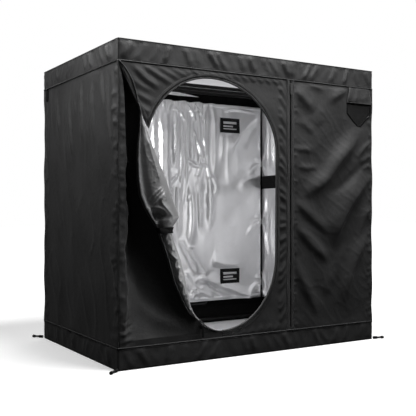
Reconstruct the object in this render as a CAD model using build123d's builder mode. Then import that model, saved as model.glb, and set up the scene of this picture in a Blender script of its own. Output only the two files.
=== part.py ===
from build123d import *
import math
import os

# Enclosure tent for a desktop 3D printer: a push-together tube frame inside a black fabric cover,
# with a silver liner curtain hung inside the frame.  The front has a zipped door flap that is
# unzipped and rolled to the left, and a straight zip beside it.
#
# Millimetres, +Z up.  The origin is the centre of the footprint on the floor and the door faces -Y.

os.makedirs("parts", exist_ok=True)

# ---- Driving dimensions ------------------------------------------------------------------------
width = 920.0
depth = 590.0
height = 890.0
fabric = 1.2               # outer cover fabric
liner = 1.0                # silver liner fabric
air = 0.5                  # slack between two layers of cloth
top_seam = 830.0           # height of the seam under the top band
bottom_seam = 57.0         # height of the seam above the bottom band

pole_radius = 8.0
pole_wall = 1.0
hub_half = 9.5             # half the side of a corner joint's cube
spigot_length = 28.0
spigot_gap = 0.05          # radial slack of a spigot in its pole
frame_play = 0.2           # between the frame and the tray it stands in

liner_side_x = 421.0       # the side curtains hang inside the posts
liner_back_y = 271.5       # the back curtain hangs in front of the back posts
liner_low = 85.0
liner_high = 832.0

# ---- Derived dimensions ------------------------------------------------------------------------
half_w = width / 2
half_d = depth / 2
tray_wall = 0.8
tray_height = bottom_seam - 1
mat_top = fabric + tray_wall + liner
corner_inset = fabric + air + tray_wall + hub_half + frame_play
post_x = half_w - corner_inset
post_y = half_d - corner_inset
roof_liner_low = height - fabric - air - liner
rail_high = roof_liner_low - air - hub_half
rail_low = fabric + tray_wall + frame_play + hub_half

# The front of the tent as a drawing board: local x from the left edge, local y up from the floor.
# Positive extrusions go outwards, towards the door's user.
front = Plane(origin=(-half_w, -half_d, 0), x_dir=(1, 0, 0), z_dir=(0, -1, 0))


def save(piece, label):
    piece.part.label = label
    export_step(piece.part, f"parts/{label}.step")


def slab(label, low, high):
    """A flat sheet between two opposite corners."""
    size = [b - a for a, b in zip(low, high)]
    centre = Vector(*((a + b) / 2 for a, b in zip(low, high)))
    with BuildPart() as sheet:
        with Locations(centre):
            Box(*size)
    save(sheet, label)


def wall_ring(label, outer_x, outer_y, thickness, low, high, floor=0.0):
    """A four-sided band, with a floor of its own where one is asked for."""
    with BuildPart() as ring:
        with BuildSketch(Plane.XY.offset(low)):
            Rectangle(2 * outer_x, 2 * outer_y)
            Rectangle(2 * (outer_x - thickness), 2 * (outer_y - thickness), mode=Mode.SUBTRACT)
        extrude(amount=high - low)
        if floor:
            with BuildSketch(Plane.XY.offset(low)):
                Rectangle(2 * outer_x, 2 * outer_y)
            extrude(amount=floor)
    save(ring, label)


# ---- Frame: posts, rails and corner joints -----------------------------------------------------
def pole(label, start, direction, length):
    """One steel tube, open at both ends."""
    with BuildPart() as tube:
        with BuildSketch(Plane(origin=start, z_dir=direction)):
            Circle(pole_radius)
            Circle(pole_radius - pole_wall, mode=Mode.SUBTRACT)
        extrude(amount=length)
    save(tube, label)


for front_back, sign_y in (("front", -1), ("back", 1)):
    for left_right, sign_x in (("left", -1), ("right", 1)):
        foot = (sign_x * post_x, sign_y * post_y, rail_low + hub_half)
        pole(f"post_{front_back}_{left_right}", foot, (0, 0, 1), rail_high - rail_low - 2 * hub_half)

for level, rail_z in (("top", rail_high), ("bottom", rail_low)):
    rail_x = post_x - hub_half
    rail_y = post_y - hub_half
    for side, sign_y in (("front", -1), ("back", 1)):
        pole(f"{level}_rail_{side}", (-rail_x, sign_y * post_y, rail_z), (1, 0, 0), 2 * rail_x)
    for side, sign_x in (("left", -1), ("right", 1)):
        pole(f"{level}_rail_{side}", (sign_x * post_x, -rail_y, rail_z), (0, 1, 0), 2 * rail_y)


def corner_joints(label, z, vertical):
    """Four moulded cubes, each with a spigot into a post, a long rail and a short rail."""
    with BuildPart() as joints:
        for sign_x in (-1, 1):
            for sign_y in (-1, 1):
                centre = Vector(sign_x * post_x, sign_y * post_y, z)
                with Locations(centre):
                    Box(2 * hub_half, 2 * hub_half, 2 * hub_half)
                for way in ((-sign_x, 0, 0), (0, -sign_y, 0), (0, 0, vertical)):
                    with BuildSketch(Plane(origin=centre, z_dir=way)):
                        Circle(pole_radius - pole_wall - spigot_gap)
                    extrude(amount=hub_half + spigot_length)
    save(joints, label)


corner_joints("corner_joints_bottom", rail_low, 1)
corner_joints("corner_joints_top", rail_high, -1)


# ---- Hanging bars, which slide along the two side rails ----------------------------------------
bar_radius = 6.0
bar_wall = 1.0
bar_drop = 16.5            # below the rails
hook_play = 0.3            # clearance of a hook round its rail
hook_width = 14.0
cup_radius = 7.6
cup_depth = 18.0
cup_outer_x = post_x - 8.0
cup_floor = 2.0
neck_reach = 1.0           # the neck between ring and cup reaches this far into both
neck_width = 12.0
mouth_width = 11.4         # the ring's open mouth
bar_z = rail_high - bar_drop
bar_half = cup_outer_x - cup_floor


def hanging_bar(label, y):
    with BuildPart() as bar:
        with BuildSketch(Plane(origin=(-bar_half, y, bar_z), z_dir=(1, 0, 0))):
            Circle(bar_radius)
            Circle(bar_radius - bar_wall, mode=Mode.SUBTRACT)
        extrude(amount=2 * bar_half)
    save(bar, label)


def bar_hooks(label, y):
    """Two moulded hooks: a ring open below, clipped over a side rail, and a cup for the bar's end."""
    with BuildPart() as hooks:
        for sign_x in (-1, 1):
            ring = Plane(origin=(sign_x * post_x, y, rail_high), x_dir=(sign_x, 0, 0), z_dir=(0, -sign_x, 0))
            with BuildSketch(ring):
                Circle(hub_half)
                with Locations((-cup_depth / 2 - neck_reach, -hub_half + neck_reach)):
                    Rectangle(neck_width, hub_half)
                Circle(pole_radius + hook_play, mode=Mode.SUBTRACT)
                with Locations((hub_half / 2, -hub_half)):
                    Rectangle(mouth_width, hub_half, mode=Mode.SUBTRACT)
            extrude(amount=hook_width / 2, both=True)
            cup = Plane(origin=(sign_x * cup_outer_x, y, bar_z), z_dir=(-sign_x, 0, 0))
            with BuildSketch(cup):
                Circle(cup_radius)
            extrude(amount=cup_depth)
            with BuildSketch(cup.offset(cup_floor)):
                Circle(bar_radius + spigot_gap)
            extrude(amount=cup_depth, mode=Mode.SUBTRACT)
            with BuildSketch(ring):
                Circle(pole_radius + hook_play)
            extrude(amount=hook_width, both=True, mode=Mode.SUBTRACT)
    save(hooks, label)


front_bar_y = 105.0
rear_bar_y = 230.0
for bar_name, bar_y in (("front", front_bar_y), ("rear", rear_bar_y)):
    hanging_bar(f"hanging_bar_{bar_name}", bar_y)
    bar_hooks(f"hanging_bar_{bar_name}_hooks", bar_y)


# ---- Outlines on the front ---------------------------------------------------------------------
# The door opening is an upright oval.  Its crown is wider on the right than on the left, its right
# side is straight, and its foot is wider on the right too.
crown_x = 294.0
crown_z = 600.0
crown_left = 213.0
crown_right = 234.0
crown_rise = 211.0
foot_x = 330.0
foot_z = 290.0
foot_left = 138.0
foot_right = 196.0
foot_drop = 213.0
gusset_turn = 164.6        # where the gusset between door and crown ends, round the crown
gusset_top_x = 2.0


def crown_point(turn, grow=0.0):
    """A point round the crown's left quarter, by its angle in degrees."""
    angle = math.radians(turn)
    return (crown_x + (crown_left + grow) * math.cos(angle), crown_z + (crown_rise + grow) * math.sin(angle))


def gusset_edge_x(z, grow=0.0):
    """The gusset's long edge, a straight line from the tent's upper left corner."""
    tip_x, tip_z = crown_point(gusset_turn)
    return gusset_top_x + grow + (tip_x - gusset_top_x) * (top_seam - z) / (top_seam - tip_z)


def gusset_tip_turn(grow):
    """The angle round the crown at which the gusset's long edge meets it, by halving."""
    low, high = 90.0, gusset_turn
    while high - low > 0.001:
        middle = (low + high) / 2
        x, z = crown_point(middle, grow)
        if x > gusset_edge_x(z, grow):
            low = middle
        else:
            high = middle
    return high


def door_region(grow=0.0):
    """All of the front left of the fixed panel: the door's web and the open oval."""
    tip_turn = gusset_tip_turn(grow)
    tip = crown_point(tip_turn, grow)
    top = (gusset_edge_x(top_seam, grow), top_seam)
    top_of_crown = (crown_x, crown_z + crown_rise + grow)
    right_of_crown = (crown_x + crown_right + grow, crown_z)
    right_of_foot = (foot_x + foot_right + grow, foot_z)
    bottom = (foot_x, foot_z - foot_drop - grow)
    with BuildSketch() as region:
        with BuildLine():
            Line(top, tip)
            EllipticalCenterArc((crown_x, crown_z), crown_left + grow, crown_rise + grow,
                                start_angle=tip_turn, arc_size=90 - tip_turn)
            EllipticalCenterArc((crown_x, crown_z), crown_right + grow, crown_rise + grow,
                                start_angle=90, arc_size=-90)
            Line(right_of_crown, right_of_foot)
            EllipticalCenterArc((foot_x, foot_z), foot_right + grow, foot_drop + grow,
                                start_angle=0, arc_size=-90)
            Polyline(bottom, (foot_x, bottom_seam - 1), (-1, bottom_seam - 1), (-1, top_seam), top)
        make_face()
    return region.sketch


# ---- Outer cover -------------------------------------------------------------------------------
zip_x = 578.5              # centre of the straight zip beside the door
zip_half = 10.5            # half the width over both of its tapes
vent_x = 862.0
vent_low = 702.0
vent_shoulder = 745.0
vent_lid = 783.0           # lower edge of the hood, top of the bare mesh
vent_high = 827.0
vent_half = 50.0
vent_point_growth = 1.3    # the pointed foot grows faster than the sides, to keep an even border
port_x = 600.0             # cable port in the back, measured as on the front
port_z = 96.0
port_half_w = 45.0
port_half_h = 22.0
port_corner = 19.8


def vent_outline(grow=0.0):
    """Shield-shaped vent window below its hood."""
    with BuildSketch() as outline:
        with BuildLine():
            Polyline(
                (vent_x - vent_half - grow, vent_lid),
                (vent_x - vent_half - grow, vent_shoulder - grow / 2),
                (vent_x, vent_low - grow * vent_point_growth),
                (vent_x + vent_half + grow, vent_shoulder - grow / 2),
                (vent_x + vent_half + grow, vent_lid),
                close=True,
            )
        make_face()
    return outline.sketch


slab("left_panel", (-half_w, -half_d, bottom_seam), (-half_w + fabric, half_d, top_seam))
slab("right_panel", (half_w - fabric, -half_d, bottom_seam), (half_w, half_d, top_seam))
slab("roof_panel", (-half_w + fabric, -half_d + fabric, height - fabric),
     (half_w - fabric, half_d - fabric, height))
slab("floor_panel", (-half_w + fabric, -half_d + fabric, 0), (half_w - fabric, half_d - fabric, fabric))
wall_ring("top_band", half_w, half_d, fabric, top_seam, height)
wall_ring("bottom_band", half_w, half_d, fabric, 0, bottom_seam)

with BuildPart() as back_panel:
    with BuildSketch(front.offset(-depth + fabric)):
        with Locations((half_w, (bottom_seam + top_seam) / 2)):
            Rectangle(width - 2 * fabric, top_seam - bottom_seam)
        with Locations((port_x, port_z)):
            RectangleRounded(2 * port_half_w, 2 * port_half_h, port_corner, mode=Mode.SUBTRACT)
    extrude(amount=-fabric)
save(back_panel, "back_panel")

with BuildPart() as front_panel:
    with BuildSketch(front):
        with Locations((fabric, bottom_seam)):
            Rectangle(zip_x - zip_half - fabric, top_seam - bottom_seam, align=(Align.MIN, Align.MIN))
        add(door_region(), mode=Mode.SUBTRACT)
    extrude(amount=-fabric)
save(front_panel, "front_panel")

with BuildPart() as side_front_panel:
    with BuildSketch(front):
        with Locations((zip_x + zip_half, bottom_seam)):
            Rectangle(width - fabric - zip_x - zip_half, top_seam - bottom_seam, align=(Align.MIN, Align.MIN))
        add(vent_outline(), mode=Mode.SUBTRACT)
    extrude(amount=-fabric)
save(side_front_panel, "side_front_panel")

# ---- Vent window -------------------------------------------------------------------------------
piping = 4.0
piping_height = 1.6
net_thickness = 0.6
net_play = 0.1
hood_lift = 0.4            # the hood lies this far in front of the cover
hood_margin = 6.0

with BuildPart() as vent_mesh:
    with BuildSketch(front):
        add(vent_outline(-net_play))
    extrude(amount=-net_thickness)
save(vent_mesh, "vent_mesh")

with BuildPart() as vent_piping:
    with BuildSketch(front):
        add(vent_outline(piping))
        add(vent_outline(), mode=Mode.SUBTRACT)
    extrude(amount=piping_height)
save(vent_piping, "vent_piping")

with BuildPart() as vent_hood:
    with BuildSketch(front.offset(hood_lift + piping_height)):
        with BuildLine():
            Polyline(
                (vent_x - vent_half + hood_margin, vent_high),
                (vent_x - vent_half - hood_margin, vent_lid - hood_margin),
                (vent_x + vent_half + hood_margin, vent_lid - hood_margin),
                (vent_x + vent_half - hood_margin, vent_high),
                close=True,
            )
        make_face()
    extrude(amount=fabric)
save(vent_hood, "vent_hood")

# ---- Cable port in the back --------------------------------------------------------------------
port_rim = 5.0
port_rim_depth = 1.5

with BuildPart() as cable_port_binding:
    with BuildSketch(front.offset(-depth)):
        with Locations((port_x, port_z)):
            RectangleRounded(2 * (port_half_w + port_rim), 2 * (port_half_h + port_rim), port_half_h)
            RectangleRounded(2 * port_half_w, 2 * port_half_h, port_corner, mode=Mode.SUBTRACT)
    extrude(amount=-port_rim_depth)
save(cable_port_binding, "cable_port_binding")

with BuildPart() as cable_port_flap:
    with BuildSketch(front.offset(-depth - port_rim_depth - hood_lift)):
        with Locations((port_x, port_z)):
            RectangleRounded(2 * port_half_w + 4 * port_rim, 2 * port_half_h + 3 * port_rim, port_rim)
    extrude(amount=-fabric)
save(cable_port_flap, "cable_port_flap")

# ---- Door: a web that stays on the tent, and the turned-back roll ------------------------------
# The roll swings about a straight line from the tent's upper left corner to the foot of the opening.
swing_top = (2.0, 829.0)
swing_foot = (247.0, 116.0)
web_thickness = fabric + liner
web_gap = 3.0              # the web stops short of the swing line
web_corner = 28.0          # the web is flat for this far from the left edge
web_least_dip = 1.2
web_most_dip = 40.0
web_narrow = 50.0          # where the web is no wider than this, it hardly dips
web_start = fabric + 0.3   # clear of the left wall
web_flat_share = 0.45      # of its width that stays flat, where it is too narrow for web_corner
web_dip_place = 0.35       # where between corner and edge the web is deepest


def swing_x(z):
    along = (swing_top[1] - z) / (swing_top[1] - swing_foot[1])
    return swing_top[0] + along * (swing_foot[0] - swing_top[0])


def web_edge(z):
    """Right edge of the web: the swing line, and below it the oval's foot."""
    if z >= swing_foot[1]:
        return swing_x(z) - web_gap
    drop = min((foot_z - z) / foot_drop, 1.0)
    return foot_x - foot_left * math.sqrt(1 - drop * drop) - web_gap * (1 - drop)


def web_dip(z):
    """How far the web sinks inwards, deepest at mid height and where the web is wide."""
    rise = (z - bottom_seam) / (top_seam - bottom_seam)
    room = min(max((web_edge(z) - web_narrow) / web_narrow, 0.0), 1.0)
    return web_least_dip + web_most_dip * room * math.sin(math.pi * rise) ** 0.8


def section(z, outline):
    """A closed outline at one height, from points given as (distance from the left edge, inwards)."""
    with BuildSketch(Plane(origin=(-half_w, -half_d, z))) as level:
        with BuildLine():
            Polyline(*outline, close=True)
        make_face()
    return level.sketch


def web_outline(z):
    edge = web_edge(z)
    dip = web_dip(z)
    start = min(web_corner, edge * web_flat_share)
    path = [(web_start, 0.0), (start, 0.0), (start + (edge - start) * web_dip_place, dip), (edge, 0.0)]
    return path + [(x, y + web_thickness) for x, y in reversed(path)]


web_levels = (bottom_seam, 77.0, 92.0, 116.0, 220.0, 340.0, 460.0, 580.0, 700.0, 780.0)
with BuildPart() as door_web:
    loft([section(z, web_outline(z)) for z in web_levels], ruled=True)
save(door_web, "door_web")

# Rows of the roll: height, free edge, fold, thickness.
roll_rows = (
    (688.0, 57.0, 64.0, 7.0),
    (640.0, 55.0, 87.0, 16.0),
    (560.0, 50.0, 121.0, 28.0),
    (480.0, 58.0, 164.0, 32.0),
    (405.0, 92.0, 190.0, 30.0),
    (374.0, 110.0, 164.0, 15.0),
    (289.0, 145.0, 186.0, 18.0),
    (192.0, 186.0, 218.0, 13.0),
    (125.0, 234.0, 243.0, 7.0),
)
roll_clearance = 4.0       # between the roll and the cover behind it
roll_back_share = 0.3      # of a row's thickness that lies behind its folds
tape_width = 9.0
tape_half = 1.0
tape_play = 0.4


def roll_middle(thick):
    return -(roll_clearance + roll_back_share * thick)


def roll_outline(free, fold, thick):
    middle = roll_middle(thick)
    centre = (free + fold) / 2
    back = middle + roll_back_share * thick
    return [(free, middle), (centre, back - thick), (fold, middle), (centre, back)]


with BuildPart() as door_roll:
    loft([section(z, roll_outline(free, fold, thick)) for z, free, fold, thick in roll_rows], ruled=True)
save(door_roll, "door_roll")

with BuildPart() as flap_zip_tape:
    tape_sections = []
    for z, free, fold, thick in roll_rows:
        middle = roll_middle(thick)
        right = free - tape_play
        left = right - tape_width
        ahead = middle - tape_half
        behind = middle + tape_half
        outline = [(left, ahead), (right, ahead), (right, behind), (left, behind)]
        tape_sections.append(section(z, outline))
    loft(tape_sections, ruled=True)
save(flap_zip_tape, "flap_zip_tape")

strap_z = 374.0
strap_height = 16.0
strap_wall = 1.5
strap_left = 91.0
strap_right = 186.0
strap_front = -32.0
strap_back = -1.6
strap_round = 8.0
with BuildPart() as tie_back_strap:
    with BuildSketch(Plane(origin=(-half_w, -half_d, strap_z - strap_height / 2))):
        with Locations(((strap_left + strap_right) / 2, (strap_front + strap_back) / 2)):
            RectangleRounded(strap_right - strap_left, strap_back - strap_front, strap_round)
            RectangleRounded(strap_right - strap_left - 2 * strap_wall,
                             strap_back - strap_front - 2 * strap_wall, strap_round - strap_wall,
                             mode=Mode.SUBTRACT)
    extrude(amount=strap_height)
save(tie_back_strap, "tie_back_strap")

# ---- Door zip on the fixed panel, and the bound edge of the opening ----------------------------
binding = 5.0
binding_thickness = 2.0
door_tape = 10.0
tape_thickness = 1.0


def edge_band(inner, outer):
    """A band that follows the fixed panel's edge on its outside face."""
    with BuildSketch(front) as band:
        add(door_region(outer))
        add(door_region(inner), mode=Mode.SUBTRACT)
        with Locations((0, bottom_seam)):
            Rectangle(width, top_seam - bottom_seam, align=(Align.MIN, Align.MIN), mode=Mode.INTERSECT)
    return band.sketch


with BuildPart() as opening_binding:
    extrude(edge_band(0.0, binding), amount=binding_thickness)
save(opening_binding, "opening_binding")

with BuildPart() as door_zip_tape:
    extrude(edge_band(binding, binding + door_tape), amount=tape_thickness)
save(door_zip_tape, "door_zip_tape")


# ---- Zip sliders and pulls ---------------------------------------------------------------------
row_gap = 1.6              # between the two rows of teeth
teeth_width = 3.0
teeth_depth = 2.4
slider_play = 0.3
slider_half_w = 4.6
slider_length = 12.0
slider_plate = 1.2
slider_round = 2.0
slider_web_share = 0.6     # of its length that the web between the plates takes
bail_place = 2.4           # the bail stands this far above the slider's middle
bail_width = 3.0
bail_height = 4.0
bail_out = 4.4
pin_lift = 2.8             # of the pull's pin in front of the slider
pin_radius = 0.74
pin_hole = 0.8
pull_width = 6.0
pull_length = 34.0
pull_thickness = 1.4
pull_end = 2.0             # of the pull above its pin
pull_slot = (3.6, 6.4)     # the bail goes through this
pull_hole = 1.4
pull_hole_place = 8.0      # from the pull's lower end


def zip_slider(label, x, z, middle, turn=0.0):
    """Front and back plates joined by a web between the rows of teeth, with a bail for the pull."""
    plate_out = teeth_depth / 2 + slider_play
    board = front.offset(middle)
    with BuildPart() as slider:
        for start in (plate_out, -plate_out - slider_plate):
            with BuildSketch(board.offset(start)):
                with Locations(Location((x, z, 0), (0, 0, turn))):
                    RectangleRounded(2 * slider_half_w, slider_length, slider_round)
            extrude(amount=slider_plate)
        with BuildSketch(board.offset(-plate_out - slider_plate / 2)):
            with Locations(Location((x, z, 0), (0, 0, turn))):
                Rectangle(row_gap - 2 * slider_play, slider_length * slider_web_share)
        extrude(amount=2 * plate_out + slider_plate)
        with BuildSketch(board.offset(plate_out)):
            with Locations((x, z + bail_place)):
                Rectangle(bail_width, bail_height)
        extrude(amount=slider_plate + bail_out)
        pin_y = -half_d - middle - plate_out - slider_plate - pin_lift
        with BuildSketch(Plane(origin=(x - half_w, pin_y, z + bail_place), z_dir=(1, 0, 0))):
            Circle(pin_hole)
        extrude(amount=bail_width, both=True, mode=Mode.SUBTRACT)
    save(slider, label)
    return plate_out + slider_plate + middle


def zip_pull(label, x, z, front_of_slider):
    """A tongue that hangs from the slider's bail: two cheeks, a pin through the bail and a long tab."""
    pin_out = front_of_slider + pin_lift
    pin_z = z + bail_place
    with BuildPart() as tab:
        with BuildSketch(Plane(origin=(x - half_w, -half_d - pin_out, pin_z), z_dir=(1, 0, 0))):
            Circle(pin_radius)
        extrude(amount=pull_width / 2, both=True)
        with BuildSketch(front.offset(pin_out - pull_thickness / 2)):
            with Locations((x, pin_z - pull_length / 2 + pull_end)):
                RectangleRounded(pull_width, pull_length, pull_end)
            with Locations((x, pin_z)):
                Rectangle(*pull_slot, mode=Mode.SUBTRACT)
            with Locations((x, pin_z + pull_end - pull_length + pull_hole_place)):
                Circle(pull_hole, mode=Mode.SUBTRACT)
        extrude(amount=pull_thickness)
    save(tab, label)


# The straight zip: two tapes with a row of teeth each, between the two front panels.
zip_low = bottom_seam + 3
zip_high = top_seam
side_slider_z = 814.0
zip_middle = -fabric / 2
stop_place = 5.0
stop_height = 9.0
stop_depth = 1.2
with BuildPart() as side_zip_tapes:
    for sign in (-1, 1):
        with BuildSketch(front):
            inner = zip_x + sign * (row_gap / 2 + teeth_width)
            outer = zip_x + sign * zip_half
            with Locations(((inner + outer) / 2, (bottom_seam + top_seam) / 2)):
                Rectangle(abs(outer - inner), top_seam - bottom_seam)
        extrude(amount=-fabric)
save(side_zip_tapes, "side_zip_tapes")

with BuildPart() as side_zip_teeth:
    for sign in (-1, 1):
        with BuildSketch(front.offset(zip_middle - teeth_depth / 2)):
            with Locations((zip_x + sign * (row_gap + teeth_width) / 2, (zip_low + zip_high) / 2)):
                Rectangle(teeth_width, zip_high - zip_low)
        extrude(amount=teeth_depth)
save(side_zip_teeth, "side_zip_teeth")

side_slider_front = zip_slider("side_zip_slider", zip_x, side_slider_z, zip_middle)
zip_pull("side_zip_pull", zip_x, side_slider_z, side_slider_front)

with BuildPart() as side_zip_stop:
    with BuildSketch(front.offset(zip_middle + teeth_depth / 2)):
        with Locations((zip_x, zip_low + stop_place)):
            RectangleRounded(2 * slider_half_w, stop_height, 1)
    extrude(amount=stop_depth)
save(side_zip_stop, "side_zip_stop")

# The door's slider is parked where the door stops being zipped, low on the left of the oval.
door_slider_x = 258.0
door_slider_z = 97.0
door_slider_middle = teeth_depth / 2 + slider_play + slider_plate + tape_thickness + slider_play
door_slider_front = zip_slider("door_zip_slider", door_slider_x, door_slider_z, door_slider_middle)
zip_pull("door_zip_pull", door_slider_x, door_slider_z, door_slider_front)

# ---- Silver liner curtain, floor tray and mat --------------------------------------------------
slit = 9.0                 # the liner's panels leave this gap at the back corners
left_start = web_most_dip + 10     # the left curtain starts behind the web's deepest place
post_clearance = 2.0
cover_clearance = 0.3
mat_margin = 1.0           # the mat ends this far inside the frame's corner joints
liner_edge = 6.0           # how far the front's inner face stands back from the door
vent_edge = 4.0
slab("liner_back", (-liner_side_x + slit, liner_back_y, liner_low),
     (liner_side_x - slit, liner_back_y + liner, liner_high))
slab("liner_left", (-liner_side_x - liner, -half_d + left_start, liner_low),
     (-liner_side_x, liner_back_y, liner_high))
slab("liner_right", (liner_side_x, -post_y + pole_radius + post_clearance, liner_low),
     (liner_side_x + liner, liner_back_y, liner_high))
slab("liner_roof", (-half_w + fabric + air, -half_d + fabric + air, roof_liner_low),
     (half_w - fabric - air, half_d - fabric - air, roof_liner_low + liner))

with BuildPart() as liner_front:
    with BuildSketch(front.offset(-fabric - cover_clearance)):
        with Locations((fabric + air, bottom_seam)):
            Rectangle(width - 2 * (fabric + air), top_seam - bottom_seam, align=(Align.MIN, Align.MIN))
        add(door_region(liner_edge), mode=Mode.SUBTRACT)
        with Locations((zip_x, (bottom_seam + top_seam) / 2)):
            Rectangle(2 * zip_half, top_seam, mode=Mode.SUBTRACT)
        add(vent_outline(vent_edge), mode=Mode.SUBTRACT)
    extrude(amount=-liner)
save(liner_front, "liner_front")

wall_ring("floor_tray", half_w - fabric - 0.1, half_d - fabric - 0.1, tray_wall, fabric, tray_height, tray_wall)
mat_x = post_x - hub_half - mat_margin
mat_y = post_y - hub_half - mat_margin
slab("floor_mat", (-mat_x, -mat_y, fabric + tray_wall), (mat_x, mat_y, mat_top))

# Webbing band round the inside of the right curtain.
band_low = 511.0
band_high = 561.0
band_thickness = 1.6
slab("side_wall_strap", (liner_side_x - band_thickness, -post_y + pole_radius + 2 * post_clearance, band_low),
     (liner_side_x, liner_back_y - post_clearance, band_high))

# Two plain patches sewn on the back curtain.
patch_w = 88.0
patch_h = 56.0
patch_thickness = 1.2
patch_x = 725.0 - half_w
with BuildPart() as label_patches:
    for patch_z in (752.0, 175.0):
        with Locations((patch_x, liner_back_y - patch_thickness / 2, patch_z)):
            Box(patch_w, patch_thickness, patch_h)
save(label_patches, "label_patches")

# Silver tabs that tie the curtain's corners to the back posts.
tie_heights = (609.0, 382.0, 142.0)
tie_height = 22.0
tie_wall = 0.8
tie_play = 0.3
tie_reach = 36.0
with BuildPart() as pole_ties:
    for sign_x in (-1, 1):
        for tie_z in tie_heights:
            with BuildSketch(Plane(origin=(sign_x * post_x, post_y, tie_z - tie_height / 2))):
                Circle(pole_radius + tie_play + tie_wall)
                with Locations((-sign_x * tie_reach / 2, -pole_radius - tie_play - tie_wall / 2)):
                    Rectangle(tie_reach, tie_wall)
                Circle(pole_radius + tie_play, mode=Mode.SUBTRACT)
            extrude(amount=tie_height)
save(pole_ties, "pole_ties")

# ---- Pegs and loops ----------------------------------------------------------------------------
peg_radius = 3.0
peg_head = 4.5             # radius of its thick end
peg_head_length = 8.0
peg_length = 30.0
loop_length = 13.0
peg_start = 5.0            # out from the corner
loop_play = 0.1
# Each peg lies as it was left: corner signs and the angle from the tent's long side.
peg_lay = ((-1, -1, 38.0), (1, -1, 16.0), (-1, 1, 48.0), (1, 1, 40.0))


def peg_direction(sign_x, sign_y, angle):
    turn = math.radians(angle)
    return Vector(sign_x * math.cos(turn), sign_y * math.sin(turn), 0)


with BuildPart() as ground_pegs:
    for sign_x, sign_y, angle in peg_lay:
        way = peg_direction(sign_x, sign_y, angle)
        start = Vector(sign_x * half_w, sign_y * half_d, peg_head) + way * peg_start
        with BuildSketch(Plane(origin=start, z_dir=way)):
            Circle(peg_radius)
        extrude(amount=peg_length)
        with BuildSketch(Plane(origin=start + way * peg_length, z_dir=way)):
            Circle(peg_head)
        extrude(amount=peg_head_length)
save(ground_pegs, "ground_pegs")

with BuildPart() as peg_loops:
    for sign_x, sign_y, angle in peg_lay:
        way = peg_direction(sign_x, sign_y, angle)
        start = Vector(sign_x * half_w, sign_y * half_d, peg_head) + way * (peg_start + 1)
        with BuildSketch(Plane(origin=start, z_dir=way)):
            Circle(peg_head)
            Circle(peg_radius + loop_play, mode=Mode.SUBTRACT)
        extrude(amount=loop_length)
save(peg_loops, "peg_loops")

# A webbing loop under the top seam, at the back of the left side.
loop_y = half_d - 37.0
loop_high = 829.0
loop_drop = 42.0
loop_half_w = 4.0
loop_out = 6.0
loop_wall = 1.2
loop_round = 2.7
with BuildPart() as hang_loop:
    with BuildSketch(Plane(origin=(-half_w, loop_y, 0), x_dir=(-1, 0, 0), z_dir=(0, 1, 0))):
        with Locations((loop_out / 2, loop_high - loop_drop / 2)):
            RectangleRounded(loop_out, loop_drop, loop_round)
            RectangleRounded(loop_out - 2 * loop_wall, loop_drop - 2 * loop_wall, loop_round - loop_wall,
                             mode=Mode.SUBTRACT)
    extrude(amount=loop_half_w, both=True)
save(hang_loop, "hang_loop")
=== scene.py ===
import math

import bpy
import numpy as np
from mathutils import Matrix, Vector, geometry


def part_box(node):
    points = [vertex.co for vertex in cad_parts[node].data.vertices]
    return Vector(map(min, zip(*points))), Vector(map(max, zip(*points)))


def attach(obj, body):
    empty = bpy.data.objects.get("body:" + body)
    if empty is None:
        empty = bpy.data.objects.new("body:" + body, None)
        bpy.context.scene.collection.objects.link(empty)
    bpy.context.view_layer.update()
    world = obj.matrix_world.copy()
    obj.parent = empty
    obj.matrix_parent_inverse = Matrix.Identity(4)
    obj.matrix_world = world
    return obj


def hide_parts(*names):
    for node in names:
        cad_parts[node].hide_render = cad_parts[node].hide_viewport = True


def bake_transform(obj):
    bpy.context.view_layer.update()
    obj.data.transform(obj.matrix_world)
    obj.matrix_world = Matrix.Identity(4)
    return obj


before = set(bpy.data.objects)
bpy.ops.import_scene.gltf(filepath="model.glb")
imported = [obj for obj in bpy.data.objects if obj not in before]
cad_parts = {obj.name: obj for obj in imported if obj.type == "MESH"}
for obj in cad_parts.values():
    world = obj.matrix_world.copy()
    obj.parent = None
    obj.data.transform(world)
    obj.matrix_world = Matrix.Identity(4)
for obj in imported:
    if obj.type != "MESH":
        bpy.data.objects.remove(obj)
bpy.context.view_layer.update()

# ---- Sizes, read from the frame -----------------------------------------------------------------
# Work on cloth is done in millimetres on drawing boards; MM turns them into the frame's metres.
MM = 0.001
_, cover_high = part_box("top_band")
half_w = cover_high.x / MM
half_d = cover_high.y / MM
height = cover_high.z / MM
width = 2 * half_w
depth = 2 * half_d
top_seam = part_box("top_band")[0].z / MM
bottom_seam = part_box("bottom_band")[1].z / MM
X, Y, Z = 0, 1, 2


def span(node, axis):
    """How far a CAD node reaches along a board: across from the left, in from the front, or up."""
    low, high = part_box(node)
    shift = (half_w, half_d, 0.0)[axis]
    return low[axis] / MM + shift, high[axis] / MM + shift


zip_left, zip_right = span("side_zip_tapes", X)
zip_x = (zip_left + zip_right) / 2

FABRIC = 1.2               # thickness of the cover's cloth
FILM = 0.6                 # thickness of the liner's film
SPACING = 6.0              # between the points of a cloth mesh
LAP = 9.0                  # the panels run up under the top band by this much
ROOT = "tent"


# ---- Fold drawing -------------------------------------------------------------------------------
def smoothstep(x):
    x = np.clip(x, 0.0, 1.0)
    return x * x * (3 - 2 * x)


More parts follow.
